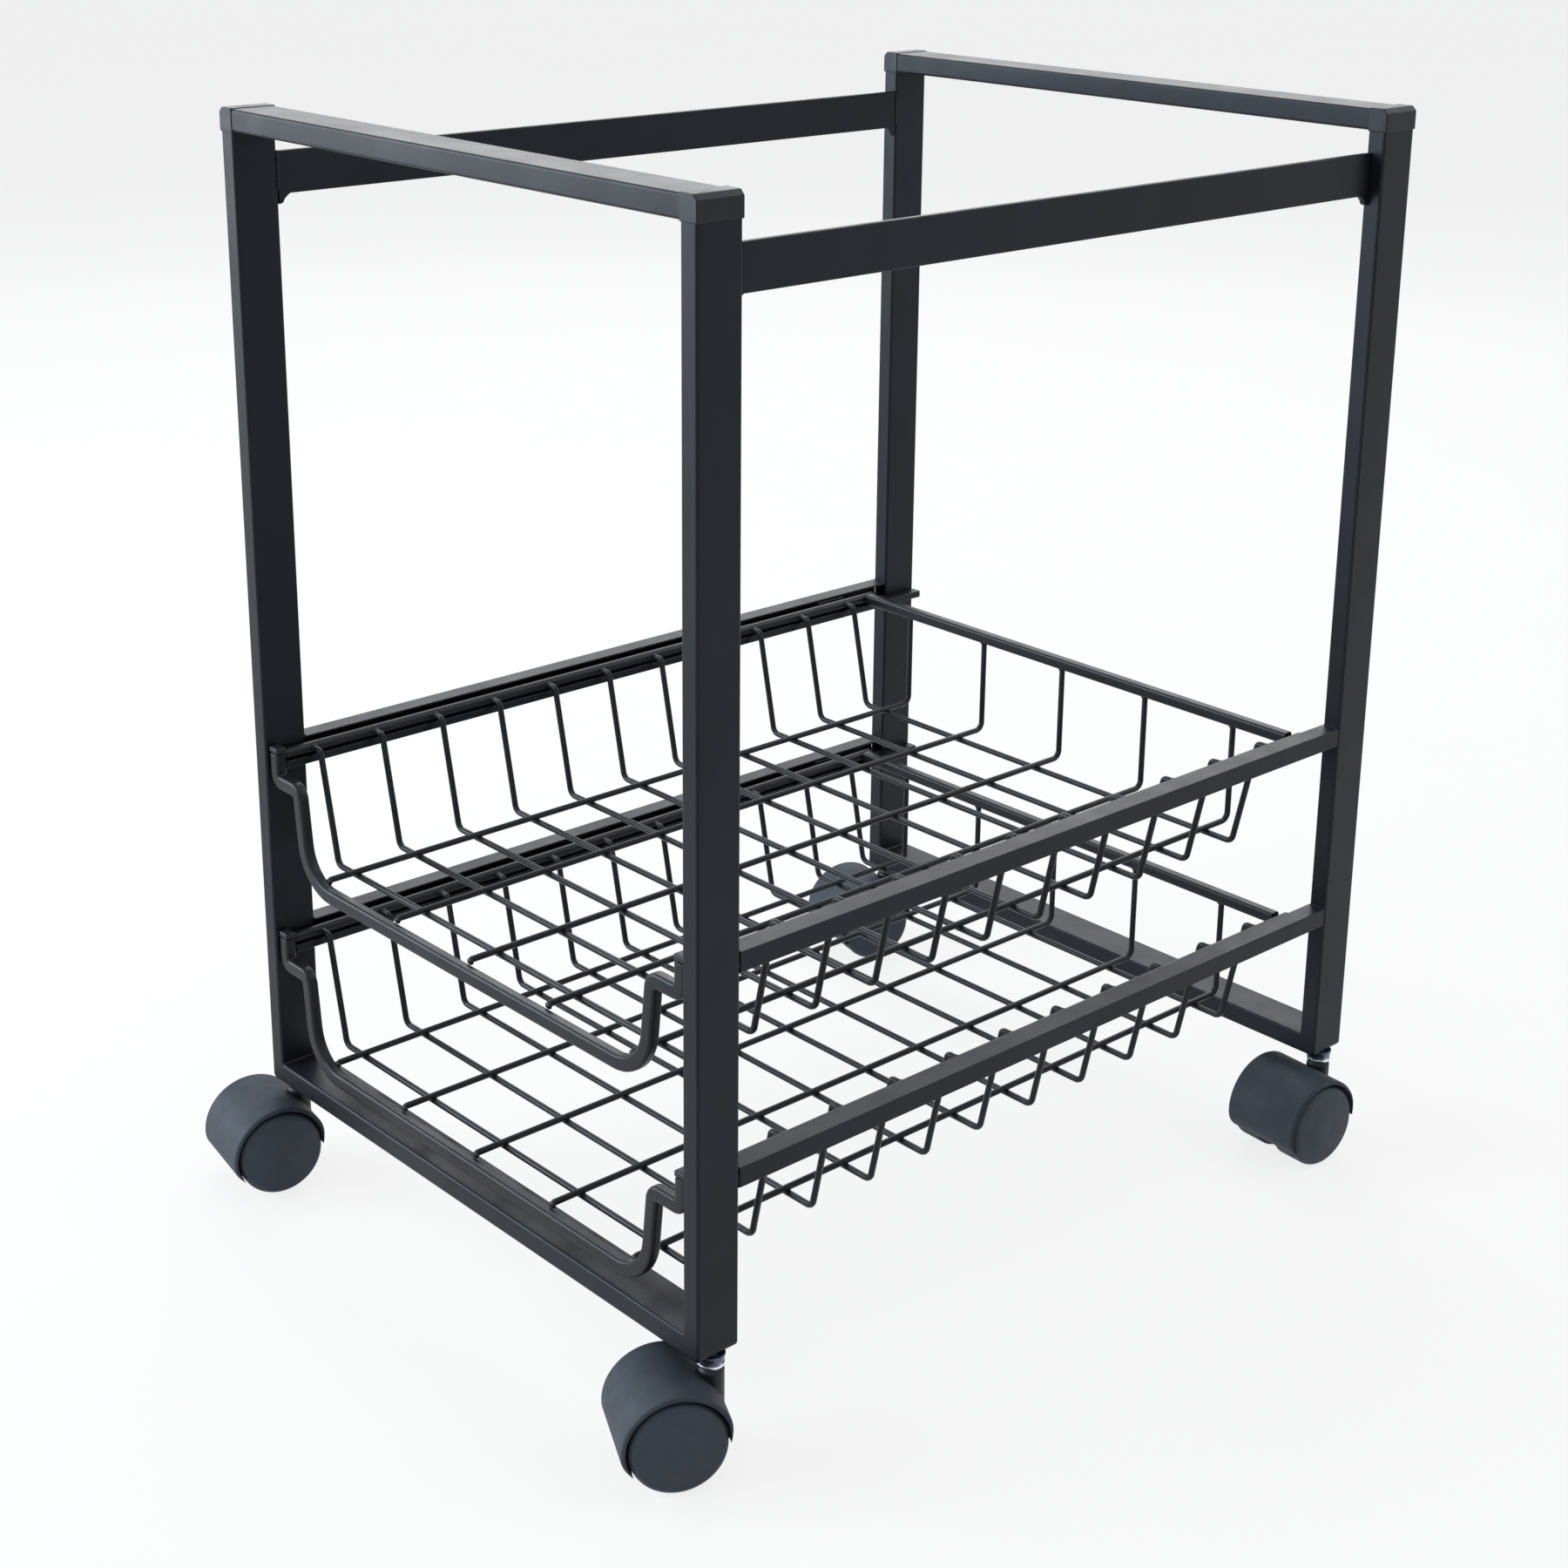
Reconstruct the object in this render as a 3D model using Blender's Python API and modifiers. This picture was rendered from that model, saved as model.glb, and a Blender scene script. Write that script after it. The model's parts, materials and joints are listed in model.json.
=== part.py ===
"""File cart: two tube end frames on swivel casters, two hanging-file rails, and two wire baskets
that slide out to the front. Metres, +Z up, origin on the floor under the middle of the cart.
X runs across the cart, and the front is at -Y."""
import bmesh
import bpy
from math import cos, hypot, pi, radians, sin
from mathutils import Matrix, Vector

# Overall size of the frame
FRAME_WIDTH = 0.327          # outer face of the left legs to outer face of the right legs
FRAME_DEPTH = 0.430          # front face of the front legs to back face of the back legs
FRAME_HEIGHT = 0.476         # foot of the legs to the top rail's upper face
FOOT_HEIGHT = 0.051          # floor to the foot of the legs

# Gaps
FIT_GAP = 0.0003             # between pieces that touch
OVERRUN = 0.002              # how far a cutter runs past the face that it opens

# Flat tube of the end frames
TUBE_WIDTH = 0.0095          # across the cart
TUBE_DEPTH = 0.022           # along the cart
TUBE_WALL = 0.0012
TUBE_EDGE = 0.0012           # radius of the tube's long edges
RAIL_HEIGHT = 0.010          # of the top and bottom rails
FOOT_CORNER = 0.005          # radius of the frame's bottom corners
FOOT_BLOCK = 0.024           # solid length at the foot, which takes the caster's stem
STEM_HOLE_DEPTH = 0.019

# Moulded corner pieces
CAP_PROUD = 0.0010           # how far the corner stands out past the tube
CAP_EDGE = 0.0022
CAP_PLUG = 0.015             # length of the plugs inside the tubes

# Hanging-file rails
HANG_DROP = 0.020            # top of the frame to the rail's upper edge
HANG_HEIGHT = 0.0185
HANG_THICKNESS = 0.003
HANG_GUSSET = 0.006          # small corner left under each end
HANG_EDGE = 0.0007

# Slide rails, channels open to the inside
SLIDE_HEIGHT = 0.009
SLIDE_WALL = 0.0012
SLIDE_EDGE = 0.0008
UPPER_SLIDE_ABOVE_FOOT = 0.1775
LOWER_SLIDE_ABOVE_FOOT = 0.082

# Runner strips that the baskets' side rods lie on
RUNNER_WIDTH = 0.006
RUNNER_HEIGHT = 0.0038
RUNNER_EDGE = 0.0005

# Baskets
ROD_DIAMETER = 0.0055
ROD_CLEARANCE = 0.00045      # side rod to the legs' inner faces
BAR_HEIGHT = 0.007           # front bar, in the plane of its bends
BAR_DEPTH = 0.0055
BAR_BACKSET = 0.0015         # front face of the frame to the bar's front face
BAR_EDGE = 0.0014
BAR_END_DROP = 0.0033        # slide rail's top to the top of the bar's upturned ends
BAR_STEP_DROP = 0.0170       # slide rail's top to the middle of the run under those ends
BAR_STEP_LENGTH = 0.0185     # middle of an upturned end to the middle of its arm
BAR_TOP_BEND = 0.0045
BAR_LOW_BEND = 0.022
BAR_ARM_LEAN = 0.005         # how far each arm leans in on its way down
PLUG_PEG_RADIUS = 0.0016     # of the plugs in the bar's upturned ends
PLUG_PEG_LENGTH = 0.0045
PLUG_EDGE = 0.0007
BASKET_DROP = 0.058          # middle of the side rods to the middle of the bar's lower run
BACK_BAR_SIZE = 0.006
BACK_BAR_INSET = 0.019       # front face of the back legs to the middle of the back bar
ROD_BACK_OVERHANG = 0.006    # side rod past the middle of the back bar
WIRE_DIAMETER = 0.0030
WELD_SINK_SHARE = 0.28       # share of a wire's diameter that crossing wires melt into each other
CROSS_WIRES = 11
FIRST_WIRE_INSET = 0.0157    # back of the front bar to the first cross wire
LAST_WIRE_INSET = 0.017      # middle of the back bar to the last cross wire
LONG_WIRES = 5
LONG_WIRE_INSET = 0.01665    # end of the tray's flat to the outer long wires
WIRE_SHOULDER = 0.0036       # cross wire's run from the rod to its upper bend
WIRE_LEAN = 0.012            # how far its sides lean in on their way down
WIRE_TOP_BEND = 0.0021
WIRE_BEND = 0.0042
GLIDE_LENGTH = 0.020
GLIDE_WIDTH = 0.0070
GLIDE_EDGE = 0.0006
GLIDE_INSET = 0.024          # middle of the back bar to the middle of the glide

# Casters
WHEEL_RADIUS = 0.021
WHEEL_EDGE = 0.0030
WHEEL_CROWN = 0.0012         # how far the middle of the wheel's side stands out
CASTER_WIDTH = 0.0465        # outer side of one wheel to outer side of the other
HOOD_WIDTH = 0.0430
HOOD_WALL = 0.0022
WHEEL_CLEARANCE = 0.0013     # wheel to hood
WEB_THICKNESS = 0.0090       # the hood's middle wall, which holds the axle
SIDE_CLEARANCE = 0.0005      # wheel to the hood's middle wall
TRAIL = 0.018                # swivel axis to the wheels' axle
HOOD_BACK_ANGLE = 207.0      # degrees round the axle, from the leading side over the top
HOOD_FRONT_ANGLE = 0.0
NECK_RADIUS = 0.0057
NECK_HEIGHT = 0.0445         # floor to the top of the neck
AXLE_RADIUS = 0.0025
AXLE_REACH = 0.0110          # length of the axle inside each wheel
STEM_RADIUS = 0.0030
STEM_LENGTH = 0.018          # inside the leg
STEM_SOCKET_DEPTH = 0.0095   # inside the hood's neck
FLANGE_RADIUS = 0.0059
FLANGE_HEIGHT = 0.0013
STEM_CONE_LOW_RADIUS = 0.0054
STEM_CONE_TOP_RADIUS = 0.0062
SWIVEL_GAP = 0.0008          # neck to flange
CASTER_TURNS = {             # degrees that each caster is turned about its stem at rest
    "front_left": -10.0,
    "front_right": -27.0,
    "back_left": -15.0,
    "back_right": -4.0,
}

# Fineness
EDGE_SEGMENTS = 2
ARC_STEP = radians(22.5)
WIRE_ARC_STEP = radians(45.0)
WHEEL_STEPS = 32
STEM_STEPS = 12
NECK_STEPS = 16
WIRE_BEVEL_RESOLUTION = 1

# Places worked out from the sizes above
HALF_WIDTH = FRAME_WIDTH / 2
HALF_DEPTH = FRAME_DEPTH / 2
FRAME_TOP = FOOT_HEIGHT + FRAME_HEIGHT
LEG_X = HALF_WIDTH - TUBE_WIDTH / 2
LEG_Y = HALF_DEPTH - TUBE_DEPTH / 2
INNER_X = HALF_WIDTH - TUBE_WIDTH
INNER_Y = HALF_DEPTH - TUBE_DEPTH
ROD_X = INNER_X - ROD_CLEARANCE - ROD_DIAMETER / 2
BAR_END_X = INNER_X - ROD_CLEARANCE - BAR_HEIGHT / 2
BAR_Y = -HALF_DEPTH + BAR_BACKSET + BAR_DEPTH / 2
BAR_BACK = BAR_Y + BAR_DEPTH / 2 + FIT_GAP
BACK_BAR_Y = INNER_Y - BACK_BAR_INSET
HOOD_RADIUS = WHEEL_RADIUS + WHEEL_CLEARANCE + HOOD_WALL
WHEEL_INNER = WEB_THICKNESS / 2 + SIDE_CLEARANCE
SIDES = {"left": -1, "right": 1}
ENDS = {"front": -1, "back": 1}
LEVELS = {"upper": FOOT_HEIGHT + UPPER_SLIDE_ABOVE_FOOT, "lower": FOOT_HEIGHT + LOWER_SLIDE_ABOVE_FOOT}


def empty_scene():
    """Remove every object that the scene starts with."""
    for item in list(bpy.data.objects):
        bpy.data.objects.remove(item, do_unlink=True)


def new_collection(name):
    """A collection linked to the scene."""
    made = bpy.data.collections.new(name)
    bpy.context.scene.collection.children.link(made)
    return made


def new_material(name, colour, roughness, metallic):
    """A Principled material with one colour."""
    made = bpy.data.materials.new(name)
    made.use_nodes = True
    shader = made.node_tree.nodes["Principled BSDF"]
    shader.inputs["Base Color"].default_value = (*colour, 1.0)
    shader.inputs["Roughness"].default_value = roughness
    shader.inputs["Metallic"].default_value = metallic
    return made


empty_scene()
PARTS = new_collection("file_cart")
CUTTERS = new_collection("cutters")
FRAME_PAINT = new_material("frame_paint", (0.020, 0.021, 0.024), 0.38, 0.0)
WIRE_COAT = new_material("wire_coat", (0.018, 0.018, 0.020), 0.42, 0.0)
CAP_PLASTIC = new_material("cap_plastic", (0.030, 0.032, 0.036), 0.50, 0.0)
GLIDE_PLASTIC = new_material("glide_plastic", (0.030, 0.030, 0.032), 0.45, 0.0)
HOOD_PLASTIC = new_material("hood_plastic", (0.045, 0.053, 0.065), 0.48, 0.0)
WHEEL_PLASTIC = new_material("wheel_plastic", (0.042, 0.049, 0.060), 0.50, 0.0)
STEM_METAL = new_material("stem_metal", (0.62, 0.66, 0.72), 0.30, 1.0)


def wheel_profile():
    """Half the section of a wheel, as (radius, height above its inner face)."""
    width = CASTER_WIDTH / 2 - WHEEL_INNER
    shoulder = width - WHEEL_CROWN - WHEEL_EDGE
    edge_middle = WHEEL_RADIUS - WHEEL_EDGE
    rim = [(edge_middle + WHEEL_EDGE * sin(turn), shoulder + WHEEL_EDGE * cos(turn))
           for turn in (0, pi / 4, pi / 2)]
    bore = AXLE_RADIUS + FIT_GAP
    depth = AXLE_REACH + FIT_GAP
    return [(0.0, width), *rim, (WHEEL_RADIUS, 0.0), (bore, 0.0), (bore, depth), (0.0, depth)]


def caster_reach(end, side, axis):
    """Lowest and highest place of one caster along X (0) or Y (1), from the middle of the frame."""
    turn = radians(CASTER_TURNS[f"{end}_{side}"])
    along = (cos(turn), sin(turn))
    back = (-sin(turn), cos(turn))
    middle = (LEG_X * SIDES[side], LEG_Y * ENDS[end])[axis] - back[axis] * TRAIL
    rounds = [(radius, WHEEL_INNER + height) for radius, height in wheel_profile()]
    rounds.append((HOOD_RADIUS, HOOD_WIDTH / 2))
    reach = max(radius * abs(back[axis]) + half * abs(along[axis]) for radius, half in rounds)
    return middle - reach, middle + reach


def frame_place():
    """Where the middle of the frame stands, so that the origin is under the middle of the whole cart."""
    place = []
    for axis, half in ((0, HALF_WIDTH), (1, HALF_DEPTH)):
        reaches = [(-half - CAP_PROUD, half + CAP_PROUD)]
        reaches += [caster_reach(end, side, axis) for end in ENDS for side in SIDES]
        place.append(-(min(low for low, high in reaches) + max(high for low, high in reaches)) / 2)
    return (*place, 0.0)


CART = bpy.data.objects.new("cart", None)
PARTS.objects.link(CART)
CART.location = frame_place()


def add_object(name, mesh, material, place=(0, 0, 0), parent=CART, group=PARTS):
    """Put a mesh in the scene under a node's name."""
    made = bpy.data.objects.new(name, mesh)
    if material:
        mesh.materials.append(material)
    group.objects.link(made)
    made.parent = parent
    made.location = place
    return made


def box_mesh(name, size):
    """A box of three side lengths round the origin."""
    mesh = bpy.data.meshes.new(name)
    shape = bmesh.new()
    bmesh.ops.create_cube(shape, size=1.0)
    bmesh.ops.scale(shape, vec=size, verts=shape.verts)
    shape.to_mesh(mesh)
    shape.free()
    return mesh


def round_edges(mesh, radius, chosen, segments=EDGE_SEGMENTS):
    """Round the edges for which chosen(start, end) is true."""
    shape = bmesh.new()
    shape.from_mesh(mesh)
    picked = [edge for edge in shape.edges if chosen(edge.verts[0].co, edge.verts[1].co)]
    bmesh.ops.bevel(shape, geom=picked, offset=radius, segments=segments, profile=0.5, affect="EDGES")
    shape.to_mesh(mesh)
    shape.free()


def cylinder_mesh(name, radius, length, axis="Z", steps=STEM_STEPS):
    """A closed cylinder round the origin, along one axis."""
    mesh = bpy.data.meshes.new(name)
    shape = bmesh.new()
    bmesh.ops.create_cone(shape, cap_ends=True, segments=steps, radius1=radius, radius2=radius, depth=length)
    if axis == "X":
        bmesh.ops.rotate(shape, matrix=Matrix.Rotation(pi / 2, 3, "Y"), verts=shape.verts)
    shape.to_mesh(mesh)
    shape.free()
    return mesh


def cut(target, mesh, place, operation="DIFFERENCE"):
    """Cut a mesh out of an object, or join it on, with a Boolean modifier."""
    cutter = add_object(target.name + "_tool", mesh, None, place, target.parent, CUTTERS)
    cutter.hide_render = True
    cutter.display_type = "WIRE"
    step = target.modifiers.new(operation.lower(), "BOOLEAN")
    step.operation = operation
    step.solver = "EXACT"
    step.object = cutter


def soften(target, radius, limit=radians(40.0), segments=EDGE_SEGMENTS):
    """Round every sharp edge of an object a little."""
    step = target.modifiers.new("soften", "BEVEL")
    step.width = radius
    step.segments = segments
    step.limit_method = "ANGLE"
    step.angle_limit = limit


def plate_mesh(name, outline, thickness, plane):
    """A flat outline given thickness. Plane XZ or YZ says which way the outline stands."""
    data = bpy.data.curves.new(name, "CURVE")
    data.dimensions = "2D"
    data.fill_mode = "BOTH"
    data.extrude = thickness / 2
    line = data.splines.new("POLY")
    line.points.add(len(outline) - 1)
    for point, (across, up) in zip(line.points, outline):
        point.co = (across, up, 0.0, 1.0)
    line.use_cyclic_u = True
    guide = bpy.data.objects.new(name + "_outline", data)
    CUTTERS.objects.link(guide)
    mesh = bpy.data.meshes.new_from_object(guide.evaluated_get(bpy.context.evaluated_depsgraph_get()))
    bpy.data.objects.remove(guide, do_unlink=True)
    shape = bmesh.new()
    shape.from_mesh(mesh)
    bmesh.ops.remove_doubles(shape, verts=shape.verts, dist=FIT_GAP / 10)
    turn = Matrix.Rotation(pi / 2, 3, "X")
    if plane == "YZ":
        turn = Matrix.Rotation(pi / 2, 3, "Z") @ turn
    bmesh.ops.rotate(shape, matrix=turn, verts=shape.verts)
    bmesh.ops.recalc_face_normals(shape, faces=shape.faces)
    shape.to_mesh(mesh)
    shape.free()
    mesh.name = name
    return mesh


def tube_mesh(name, routes, diameter, resolution=WIRE_BEVEL_RESOLUTION):
    """Round wires along routes of points, as one mesh with closed ends."""
    data = bpy.data.curves.new(name, "CURVE")
    data.dimensions = "3D"
    data.bevel_depth = diameter / 2
    data.bevel_resolution = resolution
    data.use_fill_caps = True
    for route in routes:
        line = data.splines.new("POLY")
        line.points.add(len(route) - 1)
        for point, place in zip(line.points, route):
            point.co = (*place, 1.0)
    guide = bpy.data.objects.new(name + "_route", data)
    CUTTERS.objects.link(guide)
    mesh = bpy.data.meshes.new_from_object(guide.evaluated_get(bpy.context.evaluated_depsgraph_get()))
    bpy.data.objects.remove(guide, do_unlink=True)
    shape = bmesh.new()
    shape.from_mesh(mesh)
    bmesh.ops.remove_doubles(shape, verts=shape.verts, dist=FIT_GAP / 10)
    bmesh.ops.recalc_face_normals(shape, faces=shape.faces)
    shape.to_mesh(mesh)
    shape.free()
    mesh.name = name
    return mesh


def bent_line(corners, radii, step):
    """Points along a flat line whose corners are bent to given radii."""
    points = [Vector(corners[0])]
    for before, corner, after, radius in zip(corners, corners[1:], corners[2:], radii):
        corner = Vector(corner)
        towards_start = (Vector(before) - corner).normalized()
        towards_end = (Vector(after) - corner).normalized()
        half_angle = towards_start.angle(towards_end) / 2
        middle = corner + (towards_start + towards_end).normalized() * radius / sin(half_angle)
        reach = radius * cos(half_angle) / sin(half_angle)
        first = corner + towards_start * reach - middle
        last = corner + towards_end * reach - middle
        turn = pi - 2 * half_angle
        count = max(2, round(turn / step))
        for index in range(count + 1):
            share = index / count
            weight_first = sin((1 - share) * turn) / sin(turn)
            weight_last = sin(share * turn) / sin(turn)
            points.append(middle + first * weight_first + last * weight_last)
    points.append(Vector(corners[-1]))
    return points


def strip_outline(line, width):
    """The outline of a strip of even width round a flat line of points."""
    left, right = [], []
    for index, point in enumerate(line):
        before = line[max(index - 1, 0)]
        after = line[min(index + 1, len(line) - 1)]
        along = (after - before).normalized()
        side = Vector((-along.y, along.x)) * width / 2
        left.append(point + side)
        right.append(point - side)
    return [tuple(point) for point in left + right[::-1]]


def is_upright(start, end):
    """True for an edge along Z."""
    return hypot(start.x - end.x, start.y - end.y) < FIT_GAP


def turned_object(name, profile, steps, material, place, parent=CART):
    """A turned piece round Z, from (radius, height) points run down the outer side."""
    mesh = bpy.data.meshes.new(name)
    corners = [(radius, 0.0, height) for radius, height in profile]
    mesh.from_pydata(corners, [(index, index + 1) for index in range(len(corners) - 1)], [])
    made = add_object(name, mesh, material, place, parent)
    step = made.modifiers.new("turn", "SCREW")
    step.steps = steps
    step.render_steps = steps
    step.use_merge_vertices = True
    step.merge_threshold = FIT_GAP / 30
    step.use_smooth_shade = False
    return made


def make_leg(end, side):
    """One leg: a flat tube, open at the top, with a solid foot that is bored for the stem."""
    height = FRAME_HEIGHT - RAIL_HEIGHT - FIT_GAP
    mesh = box_mesh("leg", (TUBE_WIDTH, TUBE_DEPTH, height))
    outward = SIDES[side]

    def is_foot_corner(start, end_point):
        middle = (start + end_point) / 2
        return middle.z < -height / 2 + FIT_GAP and middle.x * outward > TUBE_WIDTH / 2 - FIT_GAP

    round_edges(mesh, FOOT_CORNER, is_foot_corner, segments=4)
    low = -height / 2 + FOOT_CORNER
    round_edges(mesh, TUBE_EDGE, lambda start, stop: is_upright(start, stop) and max(start.z, stop.z) > low)
    place = (LEG_X * outward, LEG_Y * ENDS[end], FOOT_HEIGHT + height / 2)
    leg = add_object(f"leg_{end}_{side}", mesh, FRAME_PAINT, place)
    hollow = height - FOOT_BLOCK + OVERRUN
    hollow_size = (TUBE_WIDTH - 2 * TUBE_WALL, TUBE_DEPTH - 2 * TUBE_WALL, hollow)
    cut(leg, box_mesh("leg_hollow", hollow_size), (place[0], place[1], FOOT_HEIGHT + FOOT_BLOCK + hollow / 2))
    hole = cylinder_mesh("stem_hole", STEM_RADIUS + FIT_GAP, STEM_HOLE_DEPTH + OVERRUN)
    cut(leg, hole, (place[0], place[1], FOOT_HEIGHT + (STEM_HOLE_DEPTH - OVERRUN) / 2))


def make_cross_rail(name, end, height_middle):
    """A top or bottom rail: a flat tube between the legs, open at its ends."""
    length = FRAME_WIDTH - 2 * TUBE_WIDTH - 2 * FIT_GAP
    mesh = box_mesh(name, (length, TUBE_DEPTH, RAIL_HEIGHT))
    round_edges(mesh, TUBE_EDGE, lambda start, stop: abs(start.x - stop.x) > length / 2)
    place = (0, LEG_Y * ENDS[end], height_middle)
    rail = add_object(f"{name}_{end}", mesh, FRAME_PAINT, place)
    hollow = (length + 2 * OVERRUN, TUBE_DEPTH - 2 * TUBE_WALL, RAIL_HEIGHT - 2 * TUBE_WALL)
    cut(rail, box_mesh("rail_hollow", hollow), place)


def make_corner_cap(end, side):
    """A moulded corner with one plug down the leg and one into the top rail."""
    outward, fore = SIDES[side], ENDS[end]
    block = (TUBE_WIDTH + CAP_PROUD, TUBE_DEPTH + 2 * CAP_PROUD, RAIL_HEIGHT + CAP_PROUD)
    mesh = box_mesh("corner_cap", block)

    def is_outer(start, stop):
        middle = (start + stop) / 2
        on_top = middle.z > block[2] / 2 - FIT_GAP
        on_side = middle.x * outward > block[0] / 2 - FIT_GAP
        on_end = abs(middle.y) > block[1] / 2 - FIT_GAP
        return on_top + on_side + on_end > 1 and middle.x * outward > FIT_GAP - block[0] / 2

    round_edges(mesh, CAP_EDGE, is_outer, segments=3)
    height_middle = FRAME_TOP + (CAP_PROUD - RAIL_HEIGHT) / 2
    place = (outward * (LEG_X + CAP_PROUD / 2), fore * LEG_Y, height_middle)
    cap = add_object(f"corner_cap_{end}_{side}", mesh, CAP_PLASTIC, place)
    slim = 2 * (TUBE_WALL + FIT_GAP)
    down = CAP_PLUG + RAIL_HEIGHT / 2
    plug_down = box_mesh("plug_down", (TUBE_WIDTH - slim, TUBE_DEPTH - slim, down))
    cut(cap, plug_down, (LEG_X * outward, LEG_Y * fore, FRAME_TOP - RAIL_HEIGHT / 2 - down / 2), "UNION")
    inward = CAP_PLUG + TUBE_WIDTH / 2
    plug_in = box_mesh("plug_in", (inward, TUBE_DEPTH - slim, RAIL_HEIGHT - slim))
    cut(cap, plug_in, ((LEG_X - inward / 2) * outward, LEG_Y * fore, FRAME_TOP - RAIL_HEIGHT / 2), "UNION")


def make_hanging_rail(side):
    """A flat bar on edge between the legs, with a small corner left under each end."""
    half = INNER_Y - FIT_GAP
    top = FRAME_TOP - HANG_DROP
    low = top - HANG_HEIGHT
    outline = [
        (-half, top), (-half, low - HANG_GUSSET), (HANG_GUSSET - half, low),
        (half - HANG_GUSSET, low), (half, low - HANG_GUSSET), (half, top),
    ]
    mesh = plate_mesh("hanging_rail", outline, HANG_THICKNESS, "YZ")
    place = ((INNER_X + HANG_THICKNESS / 2) * SIDES[side], 0, 0)
    rail = add_object(f"hanging_rail_{side}", mesh, FRAME_PAINT, place)
    soften(rail, HANG_EDGE)


def make_slide_rail(level, side):
    """A channel between the legs, open to the inside, in line with the tube."""
    top = LEVELS[level]
    low = top - SLIDE_HEIGHT
    length = 2 * (INNER_Y - FIT_GAP)
    outward = SIDES[side]
    mesh = box_mesh("slide_rail", (TUBE_WIDTH, length, SLIDE_HEIGHT))
    round_edges(mesh, SLIDE_EDGE, lambda start, stop: (
        abs(start.y - stop.y) > length / 2 and start.x * outward > 0))
    rail = add_object(f"slide_rail_{level}_{side}", mesh, FRAME_PAINT, (LEG_X * outward, 0, (top + low) / 2))
    slot_width = TUBE_WIDTH - SLIDE_WALL + OVERRUN
    slot = box_mesh("slide_slot", (slot_width, length + 2 * OVERRUN, SLIDE_HEIGHT - 2 * SLIDE_WALL))
    cut(rail, slot, ((HALF_WIDTH - SLIDE_WALL - slot_width / 2) * outward, 0, (top + low) / 2))


def make_runner(level, side):
    """The strip on the legs' inner faces that a basket's side rod lies on."""
    length = HALF_DEPTH - BAR_BACK
    top = LEVELS[level] - SLIDE_HEIGHT + SLIDE_WALL
    mesh = box_mesh("runner", (RUNNER_WIDTH, length, RUNNER_HEIGHT))
    across = (INNER_X - FIT_GAP - RUNNER_WIDTH / 2) * SIDES[side]
    place = (across, BAR_BACK + length / 2, top - RUNNER_HEIGHT / 2)
    runner = add_object(f"runner_{level}_{side}", mesh, FRAME_PAINT, place)
    soften(runner, RUNNER_EDGE, segments=1)


def rod_height(level):
    """Height of the middle of a basket's side rods."""
    return LEVELS[level] - SLIDE_HEIGHT + SLIDE_WALL + FIT_GAP + ROD_DIAMETER / 2


def make_front_bar(level):
    """The bent bar at a basket's front: a low run, two arms, and ends stepped out and turned up."""
    end_top = LEVELS[level] - BAR_END_DROP
    step = LEVELS[level] - BAR_STEP_DROP
    low = rod_height(level) - BASKET_DROP
    arm_x = BAR_END_X - BAR_STEP_LENGTH
    half = [(BAR_END_X, end_top), (BAR_END_X, step), (arm_x, step), (arm_x - BAR_ARM_LEAN, low)]
    corners = half + [(-across, up) for across, up in reversed(half)]
    bends = (BAR_TOP_BEND, BAR_TOP_BEND, BAR_LOW_BEND, BAR_LOW_BEND, BAR_TOP_BEND, BAR_TOP_BEND)
    line = bent_line(corners, bends, ARC_STEP)
    mesh = plate_mesh("front_bar", strip_outline(line, BAR_HEIGHT), BAR_DEPTH, "XZ")
    bar = add_object(f"basket_{level}_front_bar", mesh, WIRE_COAT, (0, BAR_Y, 0))
    soften(bar, BAR_EDGE, segments=1)
    depth = PLUG_PEG_LENGTH + FIT_GAP + OVERRUN
    for side in SIDES.values():
        hole = cylinder_mesh("plug_hole", PLUG_PEG_RADIUS + FIT_GAP, depth)
        cut(bar, hole, (BAR_END_X * side, BAR_Y, end_top + OVERRUN - depth / 2))


def make_end_plug(level, side):
    """The moulded plug in an upturned end of a front bar."""
    low = LEVELS[level] - BAR_END_DROP + FIT_GAP
    height = LEVELS[level] - low
    mesh = box_mesh("end_plug", (BAR_HEIGHT, BAR_DEPTH, height))
    round_edges(mesh, PLUG_EDGE, lambda start, stop: min(start.z, stop.z) > -height / 2 + FIT_GAP)
    place = (BAR_END_X * SIDES[side], BAR_Y, low + height / 2)
    plug = add_object(f"basket_{level}_end_plug_{side}", mesh, CAP_PLASTIC, place)
    length = PLUG_PEG_LENGTH + height / 2
    peg = cylinder_mesh("plug_peg", PLUG_PEG_RADIUS, length)
    cut(plug, peg, (place[0], place[1], place[2] - length / 2), "UNION")


def make_back_bar(level):
    """The straight bar between the side rods at a basket's back."""
    length = 2 * (ROD_X - ROD_DIAMETER / 2 - FIT_GAP)
    mesh = box_mesh("back_bar", (length, BACK_BAR_SIZE, BACK_BAR_SIZE))
    round_edges(mesh, BAR_EDGE, lambda start, stop: abs(start.x - stop.x) > length / 2)
    height = rod_height(level) + (BACK_BAR_SIZE - ROD_DIAMETER) / 2
    add_object(f"basket_{level}_back_bar", mesh, WIRE_COAT, (0, BACK_BAR_Y, height))


def make_side_rod(level, side):
    """A round rod along a basket's side, lying on the runner."""
    back = BACK_BAR_Y + ROD_BACK_OVERHANG
    mesh = tube_mesh("side_rod", [[(0, BAR_BACK, 0), (0, back, 0)]], ROD_DIAMETER, resolution=3)
    place = (ROD_X * SIDES[side], 0, rod_height(level))
    rod = add_object(f"basket_{level}_rod_{side}", mesh, WIRE_COAT, place)
    soften(rod, GLIDE_EDGE, limit=radians(60.0))


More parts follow.
